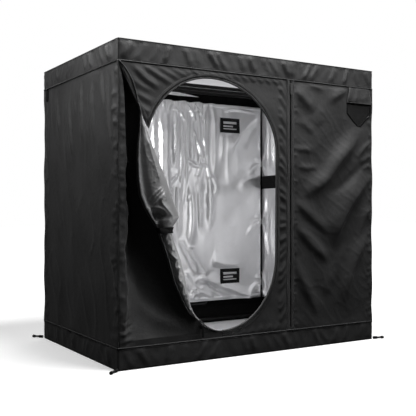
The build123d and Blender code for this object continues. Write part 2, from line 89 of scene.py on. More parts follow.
def bent_line(points, count=28):
    """A smooth line through two or more given points (Catmull-Rom)."""
    p = np.array(points, float)
    if len(p) == 2:
        return p[0] + np.linspace(0, 1, count)[:, None] * (p[1] - p[0])
    p = np.vstack([2 * p[0] - p[1], p, 2 * p[-1] - p[-2]])
    spans = len(p) - 3
    t = np.linspace(0, spans - 1e-6, count)
    i = t.astype(int)
    f = (t - i)[:, None]
    a, b, c, d = p[i], p[i + 1], p[i + 2], p[i + 3]
    return 0.5 * (2 * b + (c - a) * f + (2 * a - 5 * b + 4 * c - d) * f**2 + (3 * b - a - 3 * c + d) * f**3)


def fold(u, v, points, wide, rise, lean=0.0, fade=0.35, power=2.0):
    """One fold: a ridge of that half-width and rise along a bent line, steeper on one side by lean,
    fading out over the first and last share of its length.  A power near 1 gives a sharp crease."""
    line = bent_line(points)
    a, b = line[:-1], line[1:]
    seg = b - a
    seg_sq = (seg**2).sum(1)
    pu = u[:, None] - a[None, :, 0]
    pv = v[:, None] - a[None, :, 1]
    t = np.clip((pu * seg[None, :, 0] + pv * seg[None, :, 1]) / seg_sq[None, :], 0, 1)
    du = pu - t * seg[None, :, 0]
    dv = pv - t * seg[None, :, 1]
    dist_sq = du**2 + dv**2
    near = dist_sq.argmin(1)
    rows = np.arange(len(u))
    dist = np.sqrt(dist_sq[rows, near])
    side = np.sign(seg[near, 0] * dv[rows, near] - seg[near, 1] * du[rows, near])
    along = (near + t[rows, near]) / len(seg)
    half = wide * (1 + lean * side)
    ends = smoothstep(along / fade) * smoothstep((1 - along) / fade)
    return rise * ends * np.exp(-((dist / half) ** power))


def draw_folds(u, v, folds, fade):
    """The sum of listed folds, each given as its points, half-width, rise and lean."""
    total = np.zeros_like(u, dtype=float)
    for points, wide, rise, lean in folds:
        total += fold(u, v, points, wide, rise, lean, fade)
    return total


def ripple(u, v, size, seed, stretch=1.0, turn=0.0, waves=14):
    """Even random waves of about that size, from -1 to 1 or so; stretch lengthens them along turn."""
    rng = np.random.default_rng(seed)
    angle = math.radians(turn)
    along = (u * math.cos(angle) + v * math.sin(angle)) / stretch
    across = -u * math.sin(angle) + v * math.cos(angle)
    total = np.zeros_like(u, dtype=float)
    for _ in range(waves):
        heading = rng.uniform(0, 2 * math.pi)
        rate = 2 * math.pi / (size * rng.uniform(0.6, 1.7))
        phase = rng.uniform(0, 2 * math.pi)
        total += np.sin(rate * (along * math.cos(heading) + across * math.sin(heading)) + phase)
    return total / math.sqrt(waves / 2) / 1.6


def creases(u, v, size, seed, **kind):
    """Sharp-crested wrinkles, from 0 to 1."""
    wave = ripple(u, v, size, seed, **kind)
    return np.clip(1 - 1.6 * np.abs(wave), 0, 1) ** 1.5


# ---- Mesh helpers -------------------------------------------------------------------------------
def new_object(name, vertices, faces, materials, smooth=True):
    """Puts a mesh of points in metres into the scene."""
    mesh = bpy.data.meshes.new(name)
    mesh.from_pydata([tuple(p) for p in vertices], [], [tuple(int(i) for i in f) for f in faces])
    for material in materials:
        mesh.materials.append(material)
    if smooth:
        mesh.shade_smooth()
    obj = bpy.data.objects.new(name, mesh)
    bpy.context.scene.collection.objects.link(obj)
    return obj


def inside_loops(points, loops):
    """Even-odd test of many points against closed outlines."""
    result = np.zeros(len(points), bool)
    x, y = points[:, 0], points[:, 1]
    for loop in loops:
        a = np.array(loop)
        b = np.roll(a, -1, axis=0)
        for (x1, y1), (x2, y2) in zip(a, b):
            if y1 == y2:
                continue
            crosses = ((y1 > y) != (y2 > y)) & (x < (x2 - x1) * (y - y1) / (y2 - y1) + x1)
            result ^= crosses
    return result


def dense(loop, step):
    """A closed outline with points no further apart than step."""
    out = []
    for p, q in zip(loop, list(loop[1:]) + [loop[0]]):
        p, q = np.array(p, float), np.array(q, float)
        count = max(1, int(np.ceil(np.linalg.norm(q - p) / step)))
        out += [tuple(p + (q - p) * k / count) for k in range(count)]
    return out


def filled(loops, step):
    """A flat triangle mesh inside closed outlines: its points (n, 2) and its triangles."""
    loops = [dense(loop, step) for loop in loops]
    edge_points = [p for loop in loops for p in loop]
    edges, start = [], 0
    for loop in loops:
        n = len(loop)
        edges += [(start + k, start + (k + 1) % n) for k in range(n)]
        start += n
    low = np.min(edge_points, 0)
    high = np.max(edge_points, 0)
    rows = np.arange(low[1] + step / 2, high[1], step * 0.866)
    grid = []
    for k, y in enumerate(rows):
        xs = np.arange(low[0] + (step / 2 if k % 2 else step), high[0], step)
        grid.append(np.column_stack([xs, np.full(len(xs), y)]))
    grid = np.vstack(grid)
    grid = grid[inside_loops(grid, loops)]
    rim = np.array(edge_points)
    clear = np.ones(len(grid), bool)
    for k in range(0, len(grid), 4000):
        part = grid[k:k + 4000]
        gap = ((part[:, None, :] - rim[None, :, :]) ** 2).sum(2).min(1)
        clear[k:k + 4000] = gap > (0.55 * step) ** 2
    points = [Vector(p) for p in edge_points] + [Vector(p) for p in grid[clear]]
    found, _, faces, *_ = geometry.delaunay_2d_cdt(points, edges, [], 0, 1e-5)
    flat = np.array([(p.x, p.y) for p in found])
    faces = np.array([f for f in faces if len(f) == 3])
    middle = flat[faces].mean(1)
    return flat, faces[inside_loops(middle, loops)]


class Board:
    """A flat face of the tent: millimetres along, millimetres up, and millimetres outwards."""

    def __init__(self, origin, along, up, out, follows_corners=True):
        self.origin = np.array(origin, float)
        self.axes = np.array([along, up, out], float)
        self.flip = np.dot(np.cross(self.axes[0], self.axes[1]), self.axes[2]) < 0
        self.follows_corners = follows_corners

    def place(self, u, v, h=0.0):
        """Points of the frame, in metres, for places on the board."""
        h = np.broadcast_to(h, np.shape(u))
        p = self.origin + np.stack([u, v, h], -1) @ self.axes
        return (tucked(p) if self.follows_corners else p) * MM


def corner_waver(z):
    """How far the cover's upright corners stand in from the true corner, at each height."""
    return 1.3 + 0.9 * np.sin(z / 47.0) + 0.7 * np.sin(z / 19.0 + 1.0)


def tucked(p):
    """Pulls points near the upright corners in by the corner's waver, so that all layers follow it."""
    p = np.array(p, float)
    near_x = np.exp(-(((half_w - np.abs(p[..., 0])) / 30.0) ** 2))
    near_y = np.exp(-(((half_d - np.abs(p[..., 1])) / 30.0) ** 2))
    between = smoothstep((p[..., 2] - bottom_seam) / 60) * smoothstep((top_seam - p[..., 2]) / 60)
    pull = corner_waver(p[..., 2] + 13 * np.sign(p[..., 0])) * near_x * near_y * between
    p[..., 0] -= np.sign(p[..., 0]) * pull
    p[..., 1] -= np.sign(p[..., 1]) * pull * 0.5
    return p


FRONT = Board((-half_w, -half_d, 0), (1, 0, 0), (0, 0, 1), (0, -1, 0))
BACK = Board((-half_w, half_d, 0), (1, 0, 0), (0, 0, 1), (0, 1, 0))
LEFT = Board((-half_w, -half_d, 0), (0, 1, 0), (0, 0, 1), (-1, 0, 0))
RIGHT = Board((half_w, -half_d, 0), (0, 1, 0), (0, 0, 1), (1, 0, 0))
ROOF = Board((-half_w, -half_d, height), (1, 0, 0), (0, 1, 0), (0, 0, 1))


def cloth(name, board, loops, relief, materials, thickness=FABRIC, step=SPACING):
    """A sheet on a board, in relief, with the cloth's thickness on its inner side."""
    flat, faces = filled(loops, step)
    u, v = flat[:, 0], flat[:, 1]
    if board.flip:
        faces = faces[:, ::-1]
    obj = new_object(name, board.place(u, v, relief(u, v)), faces, materials)
    thicken(obj, thickness)
    return obj


def thicken(obj, thickness):
    """Gives a sheet its thickness on the inner side, in its second material if it has two."""
    solid = obj.modifiers.new("thickness", "SOLIDIFY")
    solid.thickness = thickness * MM
    solid.offset = -1
    if len(obj.data.materials) > 1:
        solid.material_offset = 1
        solid.material_offset_rim = 0


def lofted(name, rows, materials, closed=False):
    """A quad surface through rows of points, (rows, columns, 3) in metres."""
    rows = np.array(rows, float)
    n, m = rows.shape[:2]
    columns = m if closed else m - 1
    faces = []
    for i in range(n - 1):
        for j in range(columns):
            k = (j + 1) % m
            faces.append((i * m + j, i * m + k, (i + 1) * m + k, (i + 1) * m + j))
    return new_object(name, rows.reshape(-1, 3), faces, materials)


CORD_SIDES = 8


def tube(name, path, radius, materials):
    """A round cord of cloth along points in metres, with closed ends."""
    path = np.array(path, float)
    ahead = np.gradient(path, axis=0)
    ahead /= np.linalg.norm(ahead, axis=1)[:, None]
    lift = np.array([0.0, 0.0, 1.0]) if abs(ahead[:, 2]).mean() < 0.8 else np.array([0.0, 1.0, 0.0])
    rings = []
    for p, t in zip(path, ahead):
        a = np.cross(t, lift)
        if np.linalg.norm(a) < 1e-3:
            a = np.cross(t, np.array([0.3, 1.0, 0.2]))
        a /= np.linalg.norm(a)
        if rings and np.dot(a, last) < 0:
            a = -a
        last = a
        b = np.cross(t, a)
        turns = np.linspace(0, 2 * math.pi, CORD_SIDES, endpoint=False)
        rings.append(p + radius * MM * (np.cos(turns)[:, None] * a + np.sin(turns)[:, None] * b))
    return capped(lofted(name, rings, materials, closed=True), CORD_SIDES)


def joined(pieces):
    """Puts the meshes of all the pieces into the first one."""
    first = pieces[0]
    vertices, faces = [], []
    for piece in pieces:
        start = len(vertices)
        vertices += [tuple(v.co) for v in piece.data.vertices]
        faces += [tuple(start + k for k in p.vertices) for p in piece.data.polygons]
    first.data.clear_geometry()
    first.data.from_pydata(vertices, [], faces)
    first.data.shade_smooth()
    for piece in pieces[1:]:
        bpy.data.objects.remove(piece)
    return first


def capped(obj, sides):
    """Closes both ends of a tube whose rings have that many points."""
    mesh = obj.data
    vertices = [tuple(v.co) for v in mesh.vertices]
    faces = [tuple(p.vertices) for p in mesh.polygons]
    last_ring = len(vertices) - sides
    faces += [tuple(range(sides))[::-1], tuple(range(last_ring, last_ring + sides))]
    mesh.clear_geometry()
    mesh.from_pydata(vertices, [], faces)
    mesh.shade_smooth()
    return obj


def swept(name, board, path, profile, materials, lift=None):
    """A strip with a closed profile of (across, outwards) points, along a path on a board; lift gives
    the relief under it."""
    path = np.array(path, float)
    ahead = np.gradient(path, axis=0)
    ahead /= np.linalg.norm(ahead, axis=1)[:, None]
    across = np.column_stack([-ahead[:, 1], ahead[:, 0]])
    ground = np.zeros(len(path)) if lift is None else lift(path[:, 0], path[:, 1])
    rings = []
    for p, a, g in zip(path, across, ground):
        ring = [(p[0] + a[0] * side, p[1] + a[1] * side, g + out) for side, out in profile]
        rings.append(board.place(*np.array(ring).T))
    return capped(lofted(name, rings, materials, closed=True), len(profile))


TAPE_BEVEL = 0.4
ROUND_POINTS = 8


def flat_profile(left, right, low, high):
    """A tape's section: flat, with softened edges."""
    inner_left, inner_right, shoulder = left + TAPE_BEVEL, right - TAPE_BEVEL, high - TAPE_BEVEL
    return [(right, low), (right, shoulder), (inner_right, high), (inner_left, high), (left, shoulder),
            (left, low)]


def round_profile(left, right, low, high):
    """The section of a binding or a piping: an upper half of an ellipse on a flat base."""
    middle, half = (left + right) / 2, (right - left) / 2
    turns = np.linspace(0, math.pi, ROUND_POINTS)
    return [(middle + half * math.cos(t), low + (high - low) * math.sin(t) ** 0.8) for t in turns]


# A small block pointed at both ends, in halves of its length and width and in its height.
BLOCK_POINTS = np.array([(-1, 0, -0.3), (-0.6, -1, 0), (-0.6, 1, 0), (-0.6, 0, 1),
                         (0.6, -1, 0), (0.6, 1, 0), (0.6, 0, 1), (1, 0, -0.3)])
BLOCK_FACES = ((0, 1, 3), (0, 3, 2), (1, 4, 6, 3), (3, 6, 5, 2),
               (7, 6, 4), (7, 5, 6), (0, 2, 5, 7), (0, 7, 4, 1))
# A box with its corners in two rings of four.
BOX_FACES = ((0, 1, 5, 4), (1, 2, 6, 5), (2, 3, 7, 6), (3, 0, 4, 7), (3, 2, 1, 0), (4, 5, 6, 7))


def small_blocks(name, centres, along, out, size, materials):
    """Many small blocks in one piece, as stitches or zip teeth; size is long, wide and high."""
    long, wide, high = (s * MM / 2 for s in size)
    vertices, faces = [], []
    for centre, a, o in zip(centres, along, out):
        a = a / np.linalg.norm(a)
        o = o / np.linalg.norm(o)
        w = np.cross(o, a)
        base = len(vertices)
        ends, sides, tops = BLOCK_POINTS[:, :1], BLOCK_POINTS[:, 1:2], BLOCK_POINTS[:, 2:]
        vertices += list(centre + ends * long * a + sides * wide * w + tops * high * 2 * o)
        faces += [tuple(base + k for k in q) for q in BLOCK_FACES]
    return new_object(name, vertices, faces, materials, smooth=False)


def spaced(path, pitch):
    """Points and directions along a path in metres, every pitch millimetres."""
    path = np.array(path, float)
    steps = np.linalg.norm(np.diff(path, axis=0), axis=1)
    run = np.concatenate([[0], np.cumsum(steps)])
    marks = np.arange(pitch / 2, run[-1] / MM, pitch) * MM
    points = np.column_stack([np.interp(marks, run, path[:, k]) for k in range(3)])
    ahead = np.column_stack([np.interp(marks + 1e-4, run, path[:, k]) for k in range(3)]) - points
    ahead[np.linalg.norm(ahead, axis=1) < 1e-9] = (0, 0, 1)
    return points, ahead


STITCH = (3.4, 0.9, 0.5)   # length, width and height of one stitch
TO_FRONT = (0.0, -1.0, 0.0)


def all_facing(way, points):
    """The same direction for each of the points."""
    return np.tile(np.array(way, float), (len(points), 1))


def stitches(name, paths, out, material, pitch=5.0):
    """Rows of thread along paths in metres; out is the way the cloth faces, one for each path."""
    centres, along, outs = [], [], []
    for path, way in zip(paths, out):
        points, ahead = spaced(path, pitch)
        centres.append(points)
        along.append(ahead)
        outs.append(all_facing(way, points))
    return small_blocks(name, np.vstack(centres), np.vstack(along), np.vstack(outs), STITCH, [material])


# ---- Materials ----------------------------------------------------------------------------------
class Finish:
    """A small wrapper that builds one node material around its Principled shader."""

    def __init__(self, name, colour, roughness, metallic=0.0):
        self.material = bpy.data.materials.new(name)
        self.material.use_nodes = True
        self.tree = self.material.node_tree
        self.shader = self.tree.nodes["Principled BSDF"]
        self.shader.inputs["Base Color"].default_value = (*colour, 1)
        self.shader.inputs["Roughness"].default_value = roughness
        self.shader.inputs["Metallic"].default_value = metallic
        self.place = self.node("ShaderNodeTexCoord").outputs["Object"]

    def node(self, kind, settings=None, **values):
        """A new node; settings are its own options, and values go into its sockets or link to them."""
        made = self.tree.nodes.new(kind)
        for key, value in (settings or {}).items():
            setattr(made, key, value)
        for key, value in values.items():
            socket = made.inputs[key.replace("_", " ")]
            if isinstance(value, bpy.types.NodeSocket):
                self.tree.links.new(value, socket)
            else:
                socket.default_value = value
        return made

    def maths(self, operation, *values):
        made = self.node("ShaderNodeMath", {"operation": operation})
        for k, value in enumerate(values):
            if isinstance(value, bpy.types.NodeSocket):
                self.tree.links.new(value, made.inputs[k])
            else:
                made.inputs[k].default_value = value
        return made.outputs[0]

    def noise(self, scale, detail, roughness=0.5):
        made = self.node("ShaderNodeTexNoise", Vector=self.place, Scale=scale, Detail=detail,
                         Roughness=roughness)
        return made.outputs["Fac"]

    def between(self, factor, low, high):
        """A colour that runs from low to high with the factor."""
        ramp = self.node("ShaderNodeValToRGB", Fac=factor)
        ramp.color_ramp.elements[0].position = 0.3
        ramp.color_ramp.elements[1].position = 0.7
        ramp.color_ramp.elements[0].color = (*low, 1)
        ramp.color_ramp.elements[1].color = (*high, 1)
        return ramp.outputs["Color"]

    def spread(self, factor, low, high):
        """A value that runs from low to high with the factor."""
        made = self.node("ShaderNodeMapRange", Value=factor, From_Min=0.3, From_Max=0.7, To_Min=low,
                         To_Max=high)
        return made.outputs["Result"]

    def set(self, socket, source):
        self.tree.links.new(source, self.shader.inputs[socket])

    def bump(self, layers):
        """Stacks (height socket, distance in metres) from coarse to fine."""
        normal = None
        for height_socket, distance in layers:
            made = self.node("ShaderNodeBump", Height=height_socket, Distance=distance, Strength=1.0)
            if normal is not None:
                self.tree.links.new(normal, made.inputs["Normal"])
            normal = made.outputs["Normal"]
        self.tree.links.new(normal, self.shader.inputs["Normal"])

    def weave(self, pitch):
        """Crossed threads of that pitch in millimetres, on any face along the frame's axes."""
        parts = self.node("ShaderNodeSeparateXYZ", Vector=self.place)
        rate = 2 * math.pi / (pitch * MM)
        waves = [self.maths("SINE", self.maths("MULTIPLY", parts.outputs[k], rate)) for k in range(3)]
        total = self.maths("ADD", self.maths("ADD", waves[0], waves[1]), waves[2])
        return self.maths("MULTIPLY_ADD", total, 0.2, 0.5)


def shade(grey, tint=0.0):
    """A grey, with a little blue in it for a tint above 0."""
    return (grey, grey, grey * (1 + tint))


def woven(name, dark, light, roughness, pitch, depth_mm, sheen=0.0, gloss=0.5):
    """Woven cloth: threads of that pitch and depth over broad, faint crumples, uneven in its grey."""
    made = Finish(name, shade(light, 0.02), roughness)
    broad = made.noise(9.0, detail=4.0)
    threads = made.weave(pitch)
    fine = made.noise(900.0, detail=1.0)
    mixed = made.maths("MULTIPLY_ADD", fine, 0.25, made.maths("MULTIPLY", broad, 0.75))
    made.set("Base Color", made.between(mixed, shade(dark, 0.02), shade(light, 0.02)))
    made.set("Roughness", made.spread(broad, roughness - 0.06, roughness + 0.06))
    made.shader.inputs["Specular IOR Level"].default_value = gloss
    made.shader.inputs["Sheen Weight"].default_value = sheen
    made.shader.inputs["Sheen Roughness"].default_value = 0.5
    made.bump([(made.noise(60.0, detail=3.0), MM), (threads, depth_mm * MM)])
    return made.material


def foil(name, grey, roughness, crinkle, metallic):
    """Metallised film on cloth: mirror-like patches, faint embossing, fine crinkles."""
    made = Finish(name, shade(grey, 0.015), roughness, metallic)
    patches = made.noise(14.0, detail=5.0, roughness=0.6)
    made.set("Roughness", made.spread(patches, roughness - 0.08, roughness + 0.1))
    made.set("Base Color", made.between(patches, shade(grey * 0.93, 0.015), shade(grey, 0.015)))
    made.bump([(made.noise(16.0, detail=3.0, roughness=0.5), crinkle * MM),
               (made.noise(140.0, detail=2.0), 0.06 * crinkle * MM),
               (made.weave(1.6), 0.01 * MM)])
    return made.material


def enamel(name, grey, roughness, metallic=0.0, gloss=0.5):
    """A smooth coat with faint wear: paint, moulded plastic or plated metal."""
    made = Finish(name, shade(grey), roughness, metallic)
    wear = made.noise(40.0, detail=6.0)
    made.set("Base Color", made.between(wear, shade(grey * 0.85), shade(grey * 1.25)))
    made.set("Roughness", made.spread(wear, roughness - 0.05, roughness + 0.1))
    made.shader.inputs["Specular IOR Level"].default_value = gloss
    made.bump([(made.noise(700.0, detail=2.0), 0.05 * MM)])
    return made.material


cover_cloth = woven("cover_cloth", 0.012, 0.019, 0.60, 0.9, 0.10, sheen=0.06)
band_cloth = woven("band_cloth", 0.012, 0.019, 0.60, 0.9, 0.10, sheen=0.06)
# A far darker copy of the cover's cloth, painted shade: on the inner faces of walls and bands, the floor, the
# tray, the zip's guard strip and the vent's border.
shade_dark_cloth = woven("shade_dark_cloth", 0.0025, 0.004, 0.85, 1.2, 0.10, gloss=0.12)
webbing = woven("webbing", 0.003, 0.006, 0.8, 2.0, 0.35, gloss=0.2)
bound_tape = woven("bound_tape", 0.030, 0.045, 0.6, 1.2, 0.2, sheen=0.15)
flap_tape = woven("flap_tape", 0.040, 0.055, 0.6, 1.2, 0.2, sheen=0.15)
dark_tape = woven("dark_tape", 0.006, 0.010, 0.7, 1.2, 0.2)
zip_cloth = woven("zip_cloth", 0.014, 0.022, 0.7, 1.0, 0.15, sheen=0.1)
thread = woven("thread", 0.020, 0.030, 0.6, 0.8, 0.1)
net_cloth = woven("net_cloth", 0.010, 0.016, 0.7, 0.8, 0.1)
patch_cloth = woven("patch_cloth", 0.003, 0.005, 0.7, 0.7, 0.08, gloss=0.2)
patch_print = woven("patch_print", 0.45, 0.52, 0.6, 0.7, 0.05)
silver_film = foil("silver_film", 0.82, 0.36, 0.5, metallic=0.8)
# A darker, duller copy of the silver film for the turned-back roll: painted shade, as the roll is the same
# film.
silver_film_shaded = foil("silver_film_shaded", 0.30, 0.46, 0.8, metallic=0.45)
ceiling_silver = foil("ceiling_silver", 0.80, 0.55, 0.6, metallic=0.35)
tube_paint = enamel("tube_paint", 0.0025, 0.45, gloss=0.2)
joint_plastic = enamel("joint_plastic", 0.004, 0.5, gloss=0.2)
zip_nylon = enamel("zip_nylon", 0.016, 0.4)
zip_metal = enamel("zip_metal", 0.09, 0.35, metallic=0.6)
peg_paint = enamel("peg_paint", 0.008, 0.35)


def finish_cad(material, *nodes):
    """Gives CAD nodes that are shown as they are their material."""
    for node in nodes:
        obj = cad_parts[node]
        obj.data.materials.clear()
        obj.data.materials.append(material)


for end in ("front", "back"):
    finish_cad(tube_paint, f"post_{end}_left", f"post_{end}_right")
for side in ("front", "back", "left", "right"):
    finish_cad(tube_paint, f"top_rail_{side}", f"bottom_rail_{side}")
finish_cad(tube_paint, "hanging_bar_front", "hanging_bar_rear")
finish_cad(joint_plastic, "corner_joints_top", "corner_joints_bottom")
finish_cad(joint_plastic, "hanging_bar_front_hooks", "hanging_bar_rear_hooks")
finish_cad(zip_metal, "side_zip_slider", "side_zip_pull", "side_zip_stop")
finish_cad(joint_plastic, "door_zip_slider", "door_zip_pull")
finish_cad(peg_paint, "ground_pegs")
finish_cad(webbing, "peg_loops", "hang_loop")

# ---- Outlines on the front board ----------------------------------------------------------------
# The opening is half an ellipse over another, each with a reach to the left and to the right.
crown = {"x": 294.0, "z": 600.0, "left": 213.0, "right": 234.0, "rise": 211.0}
foot = {"x": 330.0, "z": 290.0, "left": 138.0, "right": 196.0, "drop": 213.0}
GUSSET_TURN = 164.6        # where on the crown, in degrees, the gusset's straight edge meets it
GUSSET_TOP = 2.0


def crown_point(turn, grow=0.0):
    """A point of the opening's upper half, at an angle from the right; grow moves it outwards."""
    angle = math.radians(turn)
    reach = crown["right"] if turn < 90 else crown["left"]
    x = crown["x"] + (reach + grow) * math.cos(angle)
    return (x, crown["z"] + (crown["rise"] + grow) * math.sin(angle))


def foot_point(turn, grow):
    """A point of the opening's lower right quarter."""
    angle = math.radians(turn)
    x = foot["x"] + (foot["right"] + grow) * math.cos(angle)
    return (x, foot["z"] + (foot["drop"] + grow) * math.sin(angle))


def gusset_edge_x(z, grow=0.0):
    """Where the gusset's straight edge is at a height."""
    tip_x, tip_z = crown_point(GUSSET_TURN)
    return GUSSET_TOP + grow + (tip_x - GUSSET_TOP) * (top_seam - z) / (top_seam - tip_z)


def gusset_tip_turn(grow):
    """The angle on the crown at which the gusset's edge meets it, found by halving."""
    low, high = 90.0, GUSSET_TURN
    while high - low > 0.01:
        middle = (low + high) / 2
        x, z = crown_point(middle, grow)
        low, high = (middle, high) if x > gusset_edge_x(z, grow) else (low, middle)
    return high


def opening_edge(grow=0.0):
    """The fixed panel's bound edge, from the tent's upper left corner round to the foot."""
    tip_turn = gusset_tip_turn(grow)
    tip = crown_point(tip_turn, grow)
    top = (gusset_edge_x(top_seam, grow), top_seam)
    line = [(top[0] + (tip[0] - top[0]) * k / 30, top[1] + (tip[1] - top[1]) * k / 30) for k in range(30)]
    line += [crown_point(t, grow) for t in np.linspace(tip_turn, 0, 90)]
    line += [foot_point(t, grow) for t in np.linspace(0, -90, 60)]
    return line


# ---- Relief of the outer cover ------------------------------------------------------------------
def off_edges(u, v, left, right, low, high, reach):
    """From 0 at a sewn panel's edges to 1 inside it."""
    return (smoothstep((u - left) / reach) * smoothstep((right - u) / reach)
            * smoothstep((v - low) / reach) * smoothstep((high - v) / reach))


# Folds of the gusset between the tent's upper left corner and the oval, from the seam down and right.
GUSSET_FOLDS = (
    (((36, 828), (81, 787), (136, 760)), 10, 4.6, 0.3),
    (((64, 829), (110, 804), (184, 772)), 9, 4.2, 0.3),
    (((108, 829), (148, 811), (206, 789)), 8, 3.6, 0.2),
    (((152, 829), (186, 814), (232, 801)), 7, 3.0, 0.2),
    (((34, 792), (66, 768), (116, 752)), 8, 2.6, 0.0),
    (((44, 752), (76, 735), (112, 722)), 9, 3.2, 0.2),
    (((56, 716), (80, 703), (102, 692)), 7, 2.4, 0.0),
)


def front_relief(u, v):
    """The panel that holds the oval: a gusset with slack diagonal folds, a taut strip beside the zip."""
    h = 0.7 * ripple(u, v, 90, 3, stretch=2.2, turn=-40) + draw_folds(u, v, GUSSET_FOLDS, fade=0.35)
    # Puckers between the crown and the top seam.
    for k in range(12):
        x = 200 + 28 * k
        rise = 2.8 + 0.6 * math.sin(1.9 * k)
        h += fold(u, v, [(x, 829), (x + 12, 818), (x + 28, 811)], 5.5, rise, lean=0.3)
    # Puckers down the strip between oval and zip: down to the zip above, up to it below.
    for k in range(25):
        z = 112 + 29 * k + 5 * math.sin(2.3 * k)
        slope = 27 * math.tanh((z - 400) / 130)
        rise = 3.2 + 0.8 * math.sin(1.7 * k)
        h += fold(u, v, [(531, z + slope), (548, z + 0.3 * slope), (568, z - slope)], 6.5, rise, lean=0.3)
    # Slack below the oval.
    for k in range(7):
        x = 350 + 32 * k
        h += fold(u, v, [(x, 56), (x + 30, 74 + 3 * k)], 8, 2.2)
    return h * off_edges(u, v, 0, zip_left, bottom_seam, top_seam, reach=9)


# Folds right of the zip: two long sweeps from the vent and the corner down to the zip, then swags from
# both sides that meet low in the middle.
SWEEPS = (
    (((888, 720), (824, 644), (766, 584), (720, 532), (664, 494), (600, 466)), 25, 18.0, -0.25),
    (((922, 550), (852, 488), (800, 428), (762, 366), (744, 300)), 34, 19.0, -0.48),
    (((916, 614), (852, 556), (782, 506), (716, 474)), 15, -5.0, 0.0),
    (((586, 470), (636, 424), (690, 384), (734, 352)), 18, 7.0, 0.40),
    (((586, 400), (634, 346), (690, 296), (748, 262)), 18, 8.0, 0.35),
    (((586, 290), (618, 218), (660, 148), (700, 96)), 19, 7.0, 0.30),
    (((918, 372), (858, 292), (818, 208), (796, 110)), 24, 10.0, -0.35),
    (((916, 450), (884, 398), (856, 330)), 13, 4.0, -0.30),
    (((800, 330), (776, 262), (770, 190)), 16, 3.0, -0.20),
)
# Shorter folds: from the zip's head, under the hood, and fine creases at the corner.
SHORT_FOLDS = (
    (((591, 816), (632, 770), (676, 738)), 18, 8.0, 0.30),
    (((640, 832), (676, 820), (716, 808)), 8, 3.5, -0.20),
    (((822, 824), (772, 800), (728, 770)), 15, 6.5, -0.30),
    (((706, 764), (690, 724), (700, 690)), 20, 3.0, 0.20),
    (((596, 618), (632, 617), (670, 610)), 9, 3.5, 0.20),
    (((600, 564), (640, 560), (690, 564)), 9, 3.5, 0.20),
    (((602, 706), (640, 690), (664, 664)), 12, 3.0, 0.20),
    (((918, 650), (884, 632), (850, 594)), 8, 4.5, -0.20),
    (((918, 612), (892, 596), (862, 580)), 7, 3.5, -0.20),
    (((918, 578), (896, 572), (874, 560)), 6, 3.0, 0.00),
    (((760, 240), (724, 196), (716, 150)), 20, 3.5, 0.20),
)


def side_relief(u, v):
    """The panel right of the zip."""
    h = 3.0 * np.sin((u - zip_right) / (width - zip_right) * math.pi) * smoothstep((v - 60) / 200)
    h += ripple(u, v, 120, 11, stretch=2.0, turn=35) + 0.9 * creases(u, v, 64, 12, stretch=2.2, turn=-42)
    h += draw_folds(u, v, SWEEPS, fade=0.34) + draw_folds(u, v, SHORT_FOLDS, fade=0.35)
    beside_vent = np.exp(-(((u - vent_x) / (vent_half + 14)) ** 6) - ((v - VENT_MIDDLE) / 72) ** 6)
    h = h * off_edges(u, v, zip_right, width, bottom_seam, top_seam, reach=16) * (1 - beside_vent)
    # Short puckers where the zip's tape gathers the cloth, and at the corner.
    for k in range(56):
        z = 64 + 13.5 * k + 3 * math.sin(3.1 * k)
        reach = 13 + 8 * math.sin(1.9 * k)
        rise = 1.5 + 0.9 * math.sin(0.8 * k)
        h += fold(u, v, [(zip_right - 4, z), (zip_right + reach, z - 5 * math.sin(k))], 3.6, rise, fade=0.3)
    for k in range(34):
        z = 80 + 22 * k + 6 * math.sin(2.3 * k)
        reach = 20 + 9 * math.sin(1.3 * k)
        h += fold(u, v, [(width + 4, z + 6), (width - reach, z - 9 * math.sin(1.3 * k))], 5.5, 1.9, fade=0.3)
    return h


def wall_relief(seed, length):
    """A plain wall: long folds under the top seam that die out lower down, and puckers at its corners."""
    def relief(u, v):
        high = smoothstep((v - 300) / 400)
        h = 1.3 * ripple(u, v, 150, seed, stretch=2.4, turn=80)
        count = int(length / 46)
        for k in range(count):
            x = 30 + k * (length - 60) / (count - 1) + 9 * math.sin(2.1 * k + seed)
            drop = 260 + 110 * math.sin(1.7 * k + seed)
            lean_in = 30 + 22 * math.sin(0.9 * k + seed)
            points = [(x, 838), (x - lean_in * 0.3, 836 - drop / 2), (x - lean_in, 836 - drop)]
            h += high * fold(u, v, points, 12, 5.0 + 1.6 * math.sin(2.9 * k), lean=0.25, fade=0.4)
        for k in range(26):
            z = 78 + 29 * k + 6 * math.sin(2.2 * k)
            reach = 34 + 20 * math.sin(1.7 * k + seed)
            for x, side in ((0, 1), (length, -1)):
                points = [(x, z), (x + side * reach, z + 16 * math.sin(1.3 * k + seed))]
                h += fold(u, v, points, 7, 2.6 + math.sin(2.6 * k), fade=0.35)
        h += 1.8 * creases(u, v, 130, seed + 5, stretch=2.0, turn=60) * (1 - 0.6 * high)
        return h * off_edges(u, v, 0, length, bottom_seam, top_seam, reach=12)
    return relief


# ---- Cover panels -------------------------------------------------------------------------------
def rectangle(left, right, low, high):
    return [(left, low), (right, low), (right, high), (left, high)]


def declare(piece, body, replaces):
    """Names a piece's body and hides the CAD nodes it stands for."""
    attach(piece, body)
    if replaces:
        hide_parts(*replaces)
    return piece


panel_top = top_seam + LAP
wall_high = panel_top - bottom_seam


PORT_RIM = 5.0
PORT_CORNER = 20.0


